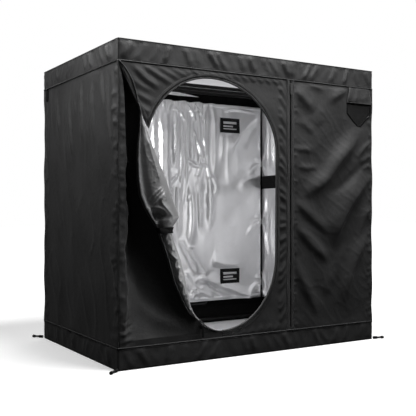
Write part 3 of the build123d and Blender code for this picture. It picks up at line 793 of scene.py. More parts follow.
def build_walls():
    """The left, right and back panels; gives the outline of the cable port cut out of the back."""
    for name, board, seed in (("left", LEFT, 1), ("right", RIGHT, 2)):
        piece = cloth(f"cover_{name}", board, [rectangle(0, depth, bottom_seam, panel_top)],
                      wall_relief(seed, depth), [cover_cloth, shade_dark_cloth], step=6.0)
        declare(piece, ROOT, [f"{name}_panel"])
    left, right = span("cable_port_binding", X)
    low, high = span("cable_port_binding", Z)
    port = rounded_box(left + PORT_RIM, right - PORT_RIM, low + PORT_RIM, high - PORT_RIM, PORT_CORNER)
    loops = [rectangle(0, width, bottom_seam, panel_top), port]
    piece = cloth("cover_back", BACK, loops, wall_relief(3, width), [cover_cloth, shade_dark_cloth], step=7.0)
    declare(piece, ROOT, ["back_panel"])
    return port


def rounded_box(left, right, low, high, radius):
    """An outline with rounded corners."""
    out = []
    steps = 6
    for cx, cz, start in ((right - radius, high - radius, 0), (left + radius, high - radius, 90),
                          (left + radius, low + radius, 180), (right - radius, low + radius, 270)):
        for k in range(steps + 1):
            a = math.radians(start + 90 * k / steps)
            out.append((cx + radius * math.cos(a), cz + radius * math.sin(a)))
    return out


vent_left, vent_right = span("vent_mesh", X)
vent_low, vent_lid = span("vent_mesh", Z)
vent_x = (vent_left + vent_right) / 2
vent_half = (vent_right - vent_left) / 2
VENT_SHOULDER = 745.0      # where the window's straight sides end
VENT_MIDDLE = 768.0


def vent_outline(grow=0.0):
    """The shield-shaped window: straight sides, then in to a blunt point."""
    side = vent_half + grow
    return [(vent_x - side, vent_lid), (vent_x - side, VENT_SHOULDER - grow / 2),
            (vent_x - 6, vent_low + 3 - grow * 1.3), (vent_x + 6, vent_low + 3 - grow * 1.3),
            (vent_x + side, VENT_SHOULDER - grow / 2), (vent_x + side, vent_lid)]


def build_front():
    """The front wall without the doorway and the vent, in two parts beside the straight zip."""
    doorway = opening_edge() + [(foot["x"], bottom_seam), (zip_left, bottom_seam), (zip_left, panel_top),
                                (GUSSET_TOP, panel_top)]
    beside = [rectangle(zip_right, width, bottom_seam, panel_top), vent_outline()]
    piece = cloth("cover_front", FRONT, [doorway], front_relief, [cover_cloth, silver_film], step=5.0)
    other = cloth("cover_front_right", FRONT, beside, side_relief, [cover_cloth, silver_film], step=5.0)
    joined([piece, other])
    declare(piece, ROOT, ["front_panel", "side_front_panel", "liner_front"])


BAND_CORNER = 4.0          # radius of the bands' corners


def around(s):
    """Round the tent's outline from the front left corner: x, y and the outward way, in mm."""
    radius = BAND_CORNER
    s = np.asarray(s, float) % (2 * (width + depth))
    legs = [(width, (-half_w, -half_d), (1, 0), (0, -1)), (depth, (half_w, -half_d), (0, 1), (1, 0)),
            (width, (half_w, half_d), (-1, 0), (0, 1)), (depth, (-half_w, half_d), (0, -1), (-1, 0))]
    x, y = np.zeros_like(s), np.zeros_like(s)
    nx, ny = np.zeros_like(s), np.zeros_like(s)
    start = 0.0
    for k, (length, origin, way, out) in enumerate(legs):
        here = (s >= start) & (s <= start + length)
        t = s[here] - start
        x[here] = origin[0] + t * way[0]
        y[here] = origin[1] + t * way[1]
        lead, trail = legs[k - 1][3], legs[(k + 1) % 4][3]
        into = np.clip(1 - t / radius, 0, 1) * 0.5
        away = np.clip(1 - (length - t) / radius, 0, 1) * 0.5
        nx[here] = out[0] * (1 - into - away) + lead[0] * into + trail[0] * away
        ny[here] = out[1] * (1 - into - away) + lead[1] * into + trail[1] * away
        for line, axis in ((x, 0), (y, 1)):
            line[here] -= (lead[axis] * into + trail[axis] * away) * radius * 0.4
            line[here] -= out[axis] * (into + away) * radius * 0.4
        start += length
    length = np.hypot(nx, ny)
    return x, y, nx / length, ny / length


lap_round = 2 * (width + depth)


class Ring:
    """The band round the tent as a board: millimetres round, millimetres up, millimetres outwards."""

    flip = False

    def place(self, u, v, h=0.0):
        x, y, nx, ny = around(u)
        return np.column_stack([x + nx * h, y + ny * h, v]) * MM


def band_relief(low, high, seed, rise):
    """Slanted folds round the band, about every 40 mm, that mostly run down to the right."""
    def relief(u, v):
        middle = smoothstep((v - low) / 10) * smoothstep((high - v) / 10)
        tall = high - low
        h = 0.8 * ripple(u, v, 60, seed, stretch=1.5, turn=50)
        x = 12.0
        k = 0
        while x < lap_round - 40:
            tilt = (30 + 12 * math.sin(1.1 * k)) * (1 if math.sin(0.37 * k + seed) > -0.55 else -1)
            points = [(x, high - 2), (x + tilt * 0.4, low + 0.55 * tall), (x + tilt, low + 2)]
            tallness = rise * (0.75 + 0.45 * math.sin(1.9 * k))
            h += fold(u, v, points, 8.5 + 2 * math.sin(1.4 * k), tallness, lean=0.35, fade=0.3)
            x += 38 + 13 * math.sin(2.7 * k + seed)
            k += 1
        corner = np.ones_like(u)
        for edge in (0, width, width + depth, 2 * width + depth, lap_round):
            corner *= 1 - 0.8 * np.exp(-(((u - edge) / 12) ** 2))
        return FABRIC + 0.4 + h * middle * corner
    return relief


def ring_cloth(name, low, high, relief, materials):
    """A band of cloth right round the tent, with close rows of points at its corners."""
    step = 5.0
    corner_places = (0, width, width + depth, 2 * width + depth)
    u = np.linspace(0, lap_round, int(lap_round / step) + 1)
    u = np.unique(np.concatenate([u, *[c + np.linspace(-5, 5, 7) for c in corner_places]]))
    u = u[(u >= 0) & (u < lap_round)]
    v = np.linspace(low, high, max(3, int((high - low) / step) + 1))
    grid_u, grid_v = np.meshgrid(u, v)
    points = Ring().place(grid_u.ravel(), grid_v.ravel(), relief(grid_u.ravel(), grid_v.ravel()))
    obj = lofted(name, points.reshape(len(v), len(u), 3), materials, closed=True)
    thicken(obj, FABRIC)
    return obj


BOTTOM_LAP = 3.6           # the bottom band stands over the panels' low edge by this much
ROOF_SAG = 5.0


def roof_sag(u, v):
    """How far the roof, and the film under it, hang down between the rails."""
    across = np.sin(math.pi * np.clip(u / width, 0, 1))
    return ROOF_SAG * (across * np.sin(math.pi * np.clip(v / depth, 0, 1))) ** 2


def build_bands():
    """The top band between roof and seam, and the bottom band that laps up over the panels."""
    relief = band_relief(top_seam, height, 4, 5.0)
    piece = ring_cloth("cover_top_band", top_seam, height, relief, [band_cloth, shade_dark_cloth])
    declare(piece, ROOT, ["top_band"])
    high = bottom_seam + BOTTOM_LAP
    relief = band_relief(0, high, 9, 2.6)
    piece = ring_cloth("cover_bottom_band", 0.6, high, relief, [band_cloth, shade_dark_cloth])
    declare(piece, ROOT, ["bottom_band"])


def build_roof():
    """The roof panel, hanging a little between the rails."""
    def roof_relief(u, v):
        inner = off_edges(u, v, 20, width - 20, 20, depth - 20, reach=120)
        h = 1.2 * inner * ripple(u, v, 180, 21, stretch=1.6, turn=20) - roof_sag(u, v)
        # Short folds in from the front seam and from the back one.
        for k in range(8):
            start, end = 60 + 100 * k, 80 + 96 * k
            h += fold(u, v, [(start, 10), (end, 120 + 30 * math.sin(k))], 12, 1.6)
            h += fold(u, v, [(start, depth - 10), (end, depth - 120 - 30 * math.cos(k))], 12, 1.6)
        return h * off_edges(u, v, 0, width, 0, depth, reach=30) - 0.4
    outline = rectangle(1, width - 1, 1, depth - 1)
    piece = cloth("cover_roof", ROOF, [outline], roof_relief, [band_cloth], step=9.0)
    declare(piece, ROOT, ["roof_panel"])


port_outline = build_walls()
build_front()
build_bands()
build_roof()

# ---- Door flap: the web that stays on the tent, and the turned-back roll ------------------------
SWING_TOP = (2.0, 829.0)
SWING_FOOT = (247.0, 116.0)
WEB_DIP = 54.0             # how deep the web sinks in
WEB_CORNER = 26.0          # where it starts to, from the corner
WEB_START = 1.6


def swing_x(z):
    """Where the line is, at a height, about which the turned-back part swings."""
    along = (SWING_TOP[1] - z) / (SWING_TOP[1] - SWING_FOOT[1])
    return SWING_TOP[0] + along * (SWING_FOOT[0] - SWING_TOP[0])


# The free edge above the roll, where the flap still lies over the gusset: places across and heights.
FREE_EDGE = bent_line([SWING_TOP, (22, 807), (39, 781), (49, 757), (55, 732), (57, 718)], 60)
ROLL_TOP = 720.0
BEHIND_ROLL = FREE_EDGE[-1, 0] - swing_x(ROLL_TOP) + 1.0


def web_edge(z):
    """Right edge of the web: the free edge, then the swing line, and below it the oval's foot."""
    drop = np.clip((foot["z"] - z) / foot["drop"], 0, 0.9995)
    curved = foot["x"] - foot["left"] * np.sqrt(1 - drop**2)
    free = np.interp(z, FREE_EDGE[::-1, 1], FREE_EDGE[::-1, 0])
    behind = swing_x(z) - 1.0 + BEHIND_ROLL * smoothstep((z - ROLL_TOP + 110) / 110)
    upper = np.where(z >= ROLL_TOP, free, np.minimum(behind, curved))
    return np.where(z >= SWING_FOOT[1], upper, curved)


def web_depth(x, z):
    """How far the web sinks inwards behind the front."""
    edge = web_edge(z)
    rise = (z - bottom_seam) / wall_high
    room = np.clip((edge - 12) / 45, 0, 1)
    sharp = 0.58 - 0.08 * np.tanh((z - 450) / 100)
    dip = WEB_DIP * room * np.clip(np.sin(math.pi * rise), 0, 1) ** sharp
    start = np.minimum(WEB_CORNER + 4 * np.sin(z / 31 + 1) + 1.5 * np.sin(z / 11), edge * 0.3)
    across = np.clip((x - start) / np.maximum(edge - start, 1), 0, 1)
    return 0.8 + dip * np.sin(math.pi * across**0.62)


def web_out(x, z):
    """The web's place outwards: sunk behind the front, and lapped over the gusset above the roll."""
    over = smoothstep((x - gusset_edge_x(z) + 7) / 8) * smoothstep((z - ROLL_TOP + 4) / 8)
    lapped = 2.8 + front_relief(np.ravel(x), np.ravel(z)).reshape(np.shape(x))
    return over * lapped - (1 - over) * web_depth(x, z)


def build_web():
    """The part of the door flap that stays on the tent, sunk in behind the front."""
    low = foot["z"] - foot["drop"]
    foot_levels = low + 103 * np.linspace(0, 1, 44) ** 2
    levels = np.concatenate([np.linspace(bottom_seam - 3, low - 0.2, 14), foot_levels,
                             np.linspace(186, SWING_TOP[1], 106)])
    z, s = np.meshgrid(levels, np.linspace(0, 1, 60), indexing="ij")
    edge = np.where(z < low, foot["x"] + 2.0, web_edge(np.maximum(z, low)))
    x = WEB_START + s * (edge - WEB_START)
    out = web_out(x, np.maximum(z, low))
    flush = smoothstep((x - foot["x"] + 46) / 40) * smoothstep((low + 6 - z) / 8)
    out += flush * (front_relief(x.ravel(), z.ravel()).reshape(x.shape) - 0.3 - out)
    h = 0.9 * ripple(x.ravel(), z.ravel(), 70, 31, stretch=2.5, turn=80).reshape(x.shape)
    # Puckers beside the corner seam, and slack folds that run down from the gathered edge.
    flat_x, flat_z = x.ravel(), z.ravel()
    puckers = np.zeros_like(flat_x)
    for k in range(26):
        at = 96 + 28 * k + 8 * math.sin(2.7 * k)
        puckers += fold(flat_x, flat_z, [(1, at), (24, at - 9 * math.sin(1.7 * k))], 5, 1.6)
    for k in range(3):
        points = [(36 + 14 * k, 240 - 30 * k), (90 + 30 * k, 144 - 12 * k), (150 + 30 * k, 90)]
        puckers += fold(flat_x, flat_z, points, 16, 1.6)
    for k in range(5):
        points = [(4, 66 + 21 * k), (26, 78 + 20 * k), (52, 76 + 26 * k)]
        puckers += fold(flat_x, flat_z, points, 6, 2.6, lean=0.3)
    h = (h + puckers.reshape(x.shape)) * smoothstep(s / 0.04) * smoothstep((1 - s) / 0.1)
    h = h * smoothstep((z - bottom_seam) / 20)
    rows = FRONT.place(x, z, h + out)
    piece = lofted("door_web_cloth", rows, [cover_cloth, silver_film])
    thicken(piece, FABRIC)
    declare(piece, ROOT, ["door_web"])


# Heights, then the places of the free edge and of the fold, and how thick the roll is there.
ROLL_ROWS = ((ROLL_TOP, 54, 57, 2.5), (697, 60, 65, 5), (672, 60, 71, 9), (640, 56, 83, 15),
             (605, 50, 97, 21), (560, 47, 117, 26), (510, 48, 139, 29), (470, 54, 153, 30),
             (437, 68, 168, 29), (410, 86, 179, 26), (396, 97, 170, 22), (382, 107, 158, 17),
             (374, 111, 155, 15), (355, 119, 160, 15), (333, 128, 168, 17), (291, 143, 186, 17),
             (241, 158, 199, 16), (222, 165, 203, 16), (197, 178, 209, 14), (160, 198, 219, 9),
             (140, 212, 229, 7), (118, 240, 247, 4))
ROLL_CLEARANCE = 4.0
STRAP_Z = 374.0
STRAP_HALF = 8.0
FLAP_TAPE = 9.0
ROLL_COLUMNS = 84


def roll_size(z):
    """Places of the free edge and of the fold, and the roll's thickness, at a height."""
    levels = [row[0] for row in ROLL_ROWS][::-1]
    return [np.interp(z, levels, [row[k] for row in ROLL_ROWS][::-1]) for k in (1, 2, 3)]


def roll_section(z):
    """From the web's edge, round the fold and back to the free edge: places across and outwards."""
    free, turn, thick = roll_size(z)
    wide = turn - free
    middle = ROLL_CLEARANCE + 0.3 * thick
    back = min(swing_x(z) - 1.0, turn - 4)
    root = -float(web_depth(back, z))
    return [(back, root), ((back + turn) / 2, 0.5 + 0.5 * root),
            (turn - 2.2, middle * 0.5 + 0.2 * (root + 1)), (turn, middle),
            (turn - 0.12 * wide, middle + 0.42 * thick), (turn - 0.36 * wide, middle + 0.62 * thick),
            (turn - 0.62 * wide, middle + 0.50 * thick), (turn - 0.80 * wide, middle + 0.06 * thick),
            (free + 0.06 * wide, middle + 0.30 * thick), (free, middle)]


# Sharp creases of the crumpled foil over the strap: points on the front board, half-width and rise.
ROLL_CREASES = (
    (((136, 480), (112, 456), (131, 430), (156, 406)), 7, 7.0),
    (((74, 434), (98, 436), (116, 432), (138, 413)), 6, 6.0),
    (((96, 420), (112, 417), (124, 408)), 9, -6.0),
    (((98, 398), (124, 401), (148, 401)), 6, 5.0),
    (((176, 409), (158, 398), (142, 390)), 6, 4.5),
    (((118, 494), (94, 474), (82, 446)), 3, 2.8),
    (((123, 488), (101, 468), (87, 440)), 3, 2.8),
    (((128, 482), (108, 462), (92, 438)), 3, 2.8),
    (((96, 580), (110, 572), (128, 576)), 4, 2.2),
    (((70, 640), (84, 590), (98, 540), (112, 500)), 5, 3.0),
    (((88, 636), (110, 570), (134, 500), (160, 440)), 5, 3.5),
    (((124, 350), (141, 361), (156, 354)), 4, 3.5),
    (((138, 330), (150, 310), (172, 288)), 4, 4.0),
    (((178, 278), (173, 257), (176, 237), (189, 223)), 4, 3.5),
    (((163, 246), (175, 213), (198, 180)), 4, 2.5),
)


def roll_crumple(s, x, z):
    """Foil folds on the turned-back side, outwards; s runs from the web's edge to the free edge."""
    on_front = smoothstep((s - 0.38) / 0.12)
    h = 0.7 * creases(x, z, 46, 41, stretch=1.6, turn=70) + 0.5 * creases(x, z, 22, 42)
    for points, wide, rise in ROLL_CREASES:
        h += fold(x, z, points, wide, rise, fade=0.2, power=1.15)
    low_part = smoothstep((368 - z) / 20)
    h += low_part * (1.9 * creases(x, z, 30, 43, stretch=1.5, turn=60) + 0.8 * creases(x, z, 15, 44))
    pinch = 1 - 0.85 * np.exp(-(((z - STRAP_Z) / 11) ** 2))
    return h * on_front * smoothstep((1 - s) / (0.05 + 0.35 * low_part)) * pinch


def roll_place(s, z):
    """Points of the roll's cloth for arrays of the share along its section and the height."""
    shape = np.shape(s)
    s, z = np.ravel(s), np.ravel(z)
    x, out = np.zeros_like(s), np.zeros_like(s)
    nx, nout = np.zeros_like(s), np.zeros_like(s)
    for level in np.unique(z):
        here = z == level
        line = bent_line(roll_section(level), 120)
        step = np.concatenate([[0], np.cumsum(np.linalg.norm(np.diff(line, axis=0), axis=1))])
        share = step / step[-1]
        ahead = np.gradient(line, axis=0)
        ahead /= np.linalg.norm(ahead, axis=1)[:, None] + 1e-9
        x[here] = np.interp(s[here], share, line[:, 0])
        out[here] = np.interp(s[here], share, line[:, 1])
        nx[here] = np.interp(s[here], share, ahead[:, 1])
        nout[here] = np.interp(s[here], share, -ahead[:, 0])
    h = roll_crumple(s, x, z)
    points = FRONT.place(x + nx * h, z, out + nout * h)
    return points.reshape(*shape, 3)


def turn_with_roll(piece):
    """Bakes the piece's placement into its mesh."""
    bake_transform(piece)


def build_roll():
    """The turned-back part of the flap, with its silver lining outside."""
    levels = np.linspace(ROLL_TOP, ROLL_ROWS[-1][0], 260)
    z, s = np.meshgrid(levels, np.linspace(0, 1, ROLL_COLUMNS), indexing="ij")
    rows = roll_place(s, z)
    # The roll's outer side is in the darker copy of the film: painted shade.
    piece = lofted("door_roll_cloth", rows, [silver_film_shaded, cover_cloth])
    thicken(piece, FABRIC)
    turn_with_roll(piece)
    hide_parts("door_roll")


def edge_tape(name, points, radius):
    """The flap's zip tape seen edge on, as a cord through points in metres."""
    piece = tube(name, points, radius, [flap_tape])
    declare(piece, ROOT, ())


def roll_girth(z):
    """Length of the roll's section at a height."""
    line = bent_line(roll_section(z), 120)
    return np.linalg.norm(np.diff(line, axis=0), axis=1).sum()


def build_flap_edges():
    """The flap's zip tape: above the roll, along it, and round the foot."""
    levels = np.linspace(SWING_TOP[1] - 1, ROLL_TOP - 3, 40)
    x = web_edge(np.maximum(levels, ROLL_TOP))
    over = web_out(x, np.maximum(levels, ROLL_TOP)) + 0.8
    edge_tape("flap_edge_upper", FRONT.place(x, levels, over), 1.5)
    levels = np.linspace(ROLL_TOP, ROLL_ROWS[-1][0], 150)
    back = np.array([FLAP_TAPE / roll_girth(z) for z in levels])
    across = np.linspace(0, 1, 6)
    z, share = np.meshgrid(levels, across, indexing="ij")
    rows = roll_place(1 - np.minimum(back, 0.3)[:, None] * share, z)
    rows[..., 1] -= (1.0 + 1.6 * np.sin(math.pi * share)) * MM
    piece = lofted("flap_edge_roll", rows[:, ::-1], [flap_tape])
    thicken(piece, 1.3)
    turn_with_roll(piece)
    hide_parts("flap_zip_tape")
    low_turn = 180 + math.degrees(math.asin((foot["z"] - SWING_FOOT[1]) / foot["drop"]))
    turns = np.radians(np.linspace(low_turn, 270, 50))
    u = foot["x"] + (foot["left"] - 2) * np.cos(turns)
    v = foot["z"] + (foot["drop"] - 2) * np.sin(turns)
    edge_tape("flap_edge_foot", FRONT.place(u, v, 1.0 + 3.0 * smoothstep((v - 90) / 30)), 2.0)


def build_strap():
    """Webbing round the pinch, drawn in tight, with a turned end."""
    rings = []
    for z in np.linspace(STRAP_Z - STRAP_HALF, STRAP_Z + STRAP_HALF, 7):
        free, turn, thick = roll_size(z)
        squeeze = 1 + 0.05 * math.sin((z - STRAP_Z) * 0.7)
        middle = ROLL_CLEARANCE + 1.5 + 0.45 * thick
        centre, half_x, half_y = (free + turn) / 2, (turn - free) / 2 + 3.0, (0.5 * thick + 2.6) * squeeze
        turns = np.linspace(0, 2 * math.pi, 48, endpoint=False)
        wrinkle = 0.5 * np.sin(5 * turns + 0.4 * z)
        u = centre + (half_x + wrinkle) * np.cos(turns)
        h = middle + (half_y + wrinkle) * np.sin(turns)
        rings.append(FRONT.place(u, np.full_like(u, z + 1.5 * math.sin(0.3)), h))
    band = lofted("tie_back_strap_webbing", rings[::-1], [webbing], closed=True)
    thicken(band, 1.6)
    declare(band, "door_roll_body", ["tie_back_strap"])
    start, length = 112, 26
    across = np.linspace(start, start + length, 12)
    path = [(u, STRAP_Z - 1 - 5 * ((u - start) / length) ** 2) for u in across]
    free_end = swept("tie_back_strap_end", FRONT, path, flat_profile(-7.5, 7.5, 0, 1.8), [webbing],
                     lift=lambda u, v: 21.0 + 3.0 * np.sin((u - start) / length * math.pi))
    declare(free_end, "door_roll_body", ())


build_web()
build_roll()
build_flap_edges()
build_strap()

# ---- Silver liner -------------------------------------------------------------------------------
liner_left_u, liner_right_u = span("liner_back", X)
liner_low, liner_high = span("liner_back", Z)
back_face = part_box("liner_back")[0].y / MM
right_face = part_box("liner_right")[0].x / MM
left_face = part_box("liner_left")[1].x / MM
LINER_BACK = Board((-half_w, back_face, 0), (1, 0, 0), (0, 0, 1), (0, -1, 0), follows_corners=False)
LINER_RIGHT = Board((right_face, -half_d, 0), (0, 1, 0), (0, 0, 1), (-1, 0, 0), follows_corners=False)
LINER_LEFT = Board((left_face, -half_d, 0), (0, 1, 0), (0, 0, 1), (1, 0, 0), follows_corners=False)
patch_left, patch_right = span("label_patches", X)
patch_low, patch_high = span("label_patches", Z)
PATCH_X = (patch_left + patch_right) / 2
PATCH_HALF = (patch_right - patch_left) / 2
PATCH_TALL = 56.0
PATCH_HEIGHTS = (patch_high - PATCH_TALL / 2, patch_low + PATCH_TALL / 2)
band_low, band_high = span("side_wall_strap", Z)
BAND_MIDDLE = (band_low + band_high) / 2
TIE_HEIGHTS = (609, 382, 142)   # of the tabs that tie the curtain to the posts

# Drapes of the back curtain from the drawcord down: place across, half-width, rise and drop.
DRAPES = ((396, 9, 9, 300), (418, 11, 11, 380), (446, 15, 17, 470), (487, 8, 12, 260), (505, 7, 10, 360),
          (532, 6, 11, 330), (560, 7, 9, 250), (583, 8, 8, 300), (608, 7, 9, 260), (628, 6, 7, 330),
          (655, 9, 6, 300), (686, 9, 5, 240), (722, 12, 3, 330), (765, 14, 2, 300))
# The same drapes lower down, softer and shifted: place across, half-width, rise, top and foot.
LOWER_DRAPES = ((402, 12, 8, 560, 260), (452, 20, 12, 600, 180), (500, 12, 9, 560, 300),
                (545, 15, 11, 560, 250), (590, 10, 10, 590, 320), (632, 13, 8, 600, 330))
# Crossed creases where the drapes knot, and the short drapes that start from them.
KNOTS = (
    (((555, 742), (588, 650), (602, 606)), 5, 8, 0.35),
    (((602, 606), (588, 578), (574, 548)), 5, 8, 0.35),
    (((604, 716), (608, 640), (602, 606)), 5, 7, 0.35),
    (((602, 606), (622, 580), (634, 540)), 6, 7, 0.35),
    (((534, 618), (560, 596), (590, 590)), 7, 5, 0.35),
    (((500, 560), (480, 545), (462, 528)), 6, 6, 0.35),
    (((640, 560), (662, 520), (652, 480)), 8, 5, 0.35),
    (((470, 800), (500, 790), (530, 748)), 6, 6, 0.35),
    (((520, 832), (556, 786), (572, 752)), 5, 7, 0.35),
    (((548, 832), (590, 792), (606, 752)), 5, 6, 0.35),
)
# Slack low down, that runs from the left down to the right, and two soft swags beside the post.
LOW_SLACK = (
    (((590, 178), (602, 171), (699, 134), (776, 104), (858, 79)), 11, 13),
    (((612, 160), (640, 142), (699, 109), (770, 84)), 9, -9),
    (((540, 290), (551, 267), (595, 215), (620, 172)), 12, 12),
    (((500, 322), (525, 285), (551, 242), (584, 186)), 11, 10),
    (((520, 200), (540, 168), (568, 130), (600, 96)), 9, 9),
    (((550, 90), (568, 112), (595, 117), (660, 90)), 8, 8),
    (((640, 236), (690, 222), (780, 168)), 22, 6),
)


def hemmed(h, low, high, v):
    """Relief kept between limits, and flattened towards a curtain's top and bottom edges."""
    hems = smoothstep((liner_high - v) / 8) * smoothstep((v - liner_low) / 6)
    return np.clip(h, low, high) * (0.45 + 0.55 * hems)


def back_folds(u, v):
    """The back curtain: gathered drapes on the left, nearly smooth cloth on the right, slack corners."""
    left = smoothstep((700 - u) / 130)
    high = smoothstep((v - 330) / 160)
    h = 2.0 + (0.5 + 1.1 * left) * ripple(u, v, 190, 51, stretch=2.5, turn=86)
    h += (0.2 + 0.8 * left) * ripple(u, v, 60, 52, stretch=3.5, turn=88)
    for k, (x, wide, rise, drop) in enumerate(DRAPES):
        sway = 7 * math.sin(1.9 * k)
        points = [(x, liner_high + 4), (x + sway, liner_high - drop * 0.45),
                  (x + 0.4 * sway, liner_high - drop)]
        h += fold(u, v, points, wide, rise, lean=0.25 * math.sin(2.2 * k), fade=0.3, power=1.5)
    for k, (x, wide, rise, top, foot_z) in enumerate(LOWER_DRAPES):
        sway = 10 * math.sin(2.3 * k + 1)
        points = [(x, top), (x + sway, (top + foot_z) / 2), (x - 0.5 * sway, foot_z)]
        h += fold(u, v, points, wide, rise, lean=0.3)
    h += draw_folds(u, v, KNOTS, fade=0.2)
    # Gathers under the drawcord.
    for k in range(24):
        x = 388 + 14 * k + 4 * math.sin(2.9 * k)
        points = [(x, liner_high + 2), (x + 5 * math.sin(k), liner_high - 46 - 18 * math.sin(1.7 * k))]
        h += left * fold(u, v, points, 4.2, 5.5, fade=0.4)
    # Slack that hangs from the right-hand post and from its ties.
    h += fold(u, v, [(872, 800), (800, 752), (750, 690), (738, 640)], 13, 7, lean=-0.5, fade=0.3)
    h += fold(u, v, [(872, 782), (820, 716), (800, 660)], 15, -4, lean=-0.3)
    h += fold(u, v, [(690, 800), (745, 816), (860, 806)], 7, 4, lean=0.3)
    h += fold(u, v, [(870, 560), (800, 540), (770, 500)], 18, 4, lean=0.3)
    for tie in TIE_HEIGHTS:
        h += fold(u, v, [(884, tie), (838, tie - 12), (800, tie - 60)], 12, 4.5, lean=0.4)
        h += fold(u, v, [(884, tie), (842, tie + 26)], 10, 3.5, lean=-0.4)
    for points, wide, rise in LOW_SLACK:
        h += fold(u, v, points, wide, rise, lean=0.4, fade=0.2, power=1.4)
    h += fold(u, v, [(860, 500), (760, 428), (690, 370)], 30, -3, fade=0.3)
    h += fold(u, v, [(860, 725), (760, 647), (699, 568), (690, 500)], 34, -4, fade=0.3)
    low_left = smoothstep((200 - v) / 80) * smoothstep((640 - u) / 100)
    h += 7.0 * low_left * creases(u, v, 46, 53, stretch=1.4, turn=-40)
    h += 2.0 * left * high * creases(u, v, 52, 54, stretch=2.6, turn=84)
    # Nearly flat under the patches.
    for z in PATCH_HEIGHTS:
        reach = np.exp(-(((u - PATCH_X) / (PATCH_HALF + 14)) ** 6) - ((v - z) / (PATCH_TALL / 2 + 12)) ** 6)
        h = h * (1 - 0.8 * reach) + 2.5 * reach
    return hemmed(1.2 * h, -7, 27, v)


def curtain_top(u):
    """The curtain's gathered top edge, drawn down a little between the gathers."""
    return liner_high - 2.0 + 2.0 * np.sin(u / 10.0) * smoothstep((720 - u) / 120)


def right_folds(u, v):
    """The right curtain: straight soft drapes, cinched by the webbing band and by the pole ties."""
    cinch = 1 - 0.85 * np.exp(-(((v - BAND_MIDDLE) / 48) ** 4))
    h = 1.5 + 1.2 * ripple(u, v, 120, 61, stretch=3.0, turn=88)
    for k in range(9):
        x = 60 + 60 * k + 12 * math.sin(2.1 * k)
        sway = 10 * math.sin(1.3 * k)
        points = [(x, liner_high + 4), (x + sway, 700), (x - sway * 0.4, 560)]
        h += fold(u, v, points, 11, 6 + 2 * math.sin(k), lean=0.3)
        points = [(x + 12, 520), (x + 12 + sway, 350), (x - sway, 170)]
        h += fold(u, v, points, 13, 5 + 2 * math.cos(k), lean=-0.3)
    for tie in TIE_HEIGHTS:
        h += fold(u, v, [(566, tie + 4), (536, tie - 60), (520, tie - 150)], 9, 6, lean=0.4)
        h += fold(u, v, [(566, tie), (540, tie + 50), (536, tie + 120)], 9, 5, lean=-0.4)
    low_far = smoothstep((240 - v) / 90) * smoothstep((u - 470) / 60)
    h += 5.0 * low_far * creases(u, v, 34, 62, stretch=1.8, turn=70)
    return hemmed(h * cinch, -3, 16, v)


def left_folds(u, v):
    """The left curtain: soft drapes."""
    h = 1.5 + 1.6 * ripple(u, v, 130, 71, stretch=3.0, turn=88)
    for k in range(10):
        x = 70 + 52 * k + 9 * math.sin(2.1 * k)
        sway = 10 * math.sin(1.3 * k)
        points = [(x, liner_high + 4), (x + sway, 600), (x - sway * 0.4, 360)]
        h += fold(u, v, points, 11, 8 + 2 * math.sin(k), lean=0.3)
    return hemmed(h, -3, 16, v)


def build_liner():
    """The back, right and left curtains."""
    top = [(u, curtain_top(u)) for u in np.linspace(liner_right_u, liner_left_u, 150)]
    outline = [(liner_left_u, liner_low), (liner_right_u, liner_low)] + top
    piece = cloth("curtain_back", LINER_BACK, [outline], back_folds, [silver_film], thickness=FILM, step=4.2)
    declare(piece, ROOT, ["liner_back"])
    sides = (("right", LINER_RIGHT, right_folds, 5.0, ["right_wall_webbing"]),
             ("left", LINER_LEFT, left_folds, 6.5, []))
    for side, board, folds, step, carried in sides:
        near, far = span(f"liner_{side}", Y)
        outline = rectangle(near, far, liner_low, liner_high)
        piece = cloth(f"curtain_{side}", board, [outline], folds, [silver_film], thickness=FILM, step=step)
        declare(piece, ROOT, [f"liner_{side}"])


def build_heading():
    """The spare film above the curtain, drawn up over the rail at the left and tapering to the right."""
    outline = [(liner_left_u, 853), (420, 852), (500, 850), (590, 851), (540, 858), (480, 864), (420, 868),
               (liner_left_u, 870)]
    piece = cloth("curtain_heading", LINER_BACK, [outline],
                  lambda u, v: 1.5 + ripple(u, v, 70, 55, stretch=2.0), [silver_film], thickness=FILM)
    declare(piece, ROOT, ())


# Plain bars on a patch, in place of its print: left, right, low and high, from the patch's middle.
PATCH_BARS = ((-30, 30, 6, 15), (-30, 14, -6, 0), (-30, 30, -15, -11))


def build_patch(name, z):
    """A patch sewn on the back curtain, with its bars and its stitches."""
    def on_curtain(rise):
        return lambda u, v: back_folds(u, v) + rise

    def patch_outline(inset=0.0):
        half, tall = PATCH_HALF - inset, PATCH_TALL / 2 - inset
        return rectangle(PATCH_X - half, PATCH_X + half, z - tall, z + tall)
    patch = cloth(name, LINER_BACK, [patch_outline()], on_curtain(1.6), [patch_cloth], thickness=0.8)
    declare(patch, ROOT, ["label_patches"])
    for k, (left, right, low, high) in enumerate(PATCH_BARS):
        bar = rectangle(PATCH_X + left, PATCH_X + right, z + low, z + high)
        mark = cloth(f"{name}_bar_{k}", LINER_BACK, [bar], on_curtain(1.9), [patch_print], thickness=0.5,
                     step=5.0)
        declare(mark, ROOT, ())
    seam = dense(patch_outline(3.0), 4)
    u, v = np.array(seam + seam[:1]).T
    line = LINER_BACK.place(u, v, back_folds(u, v) + 1.7)
    declare(stitches(f"{name}_stitches", [line], [TO_FRONT], thread), ROOT, ())


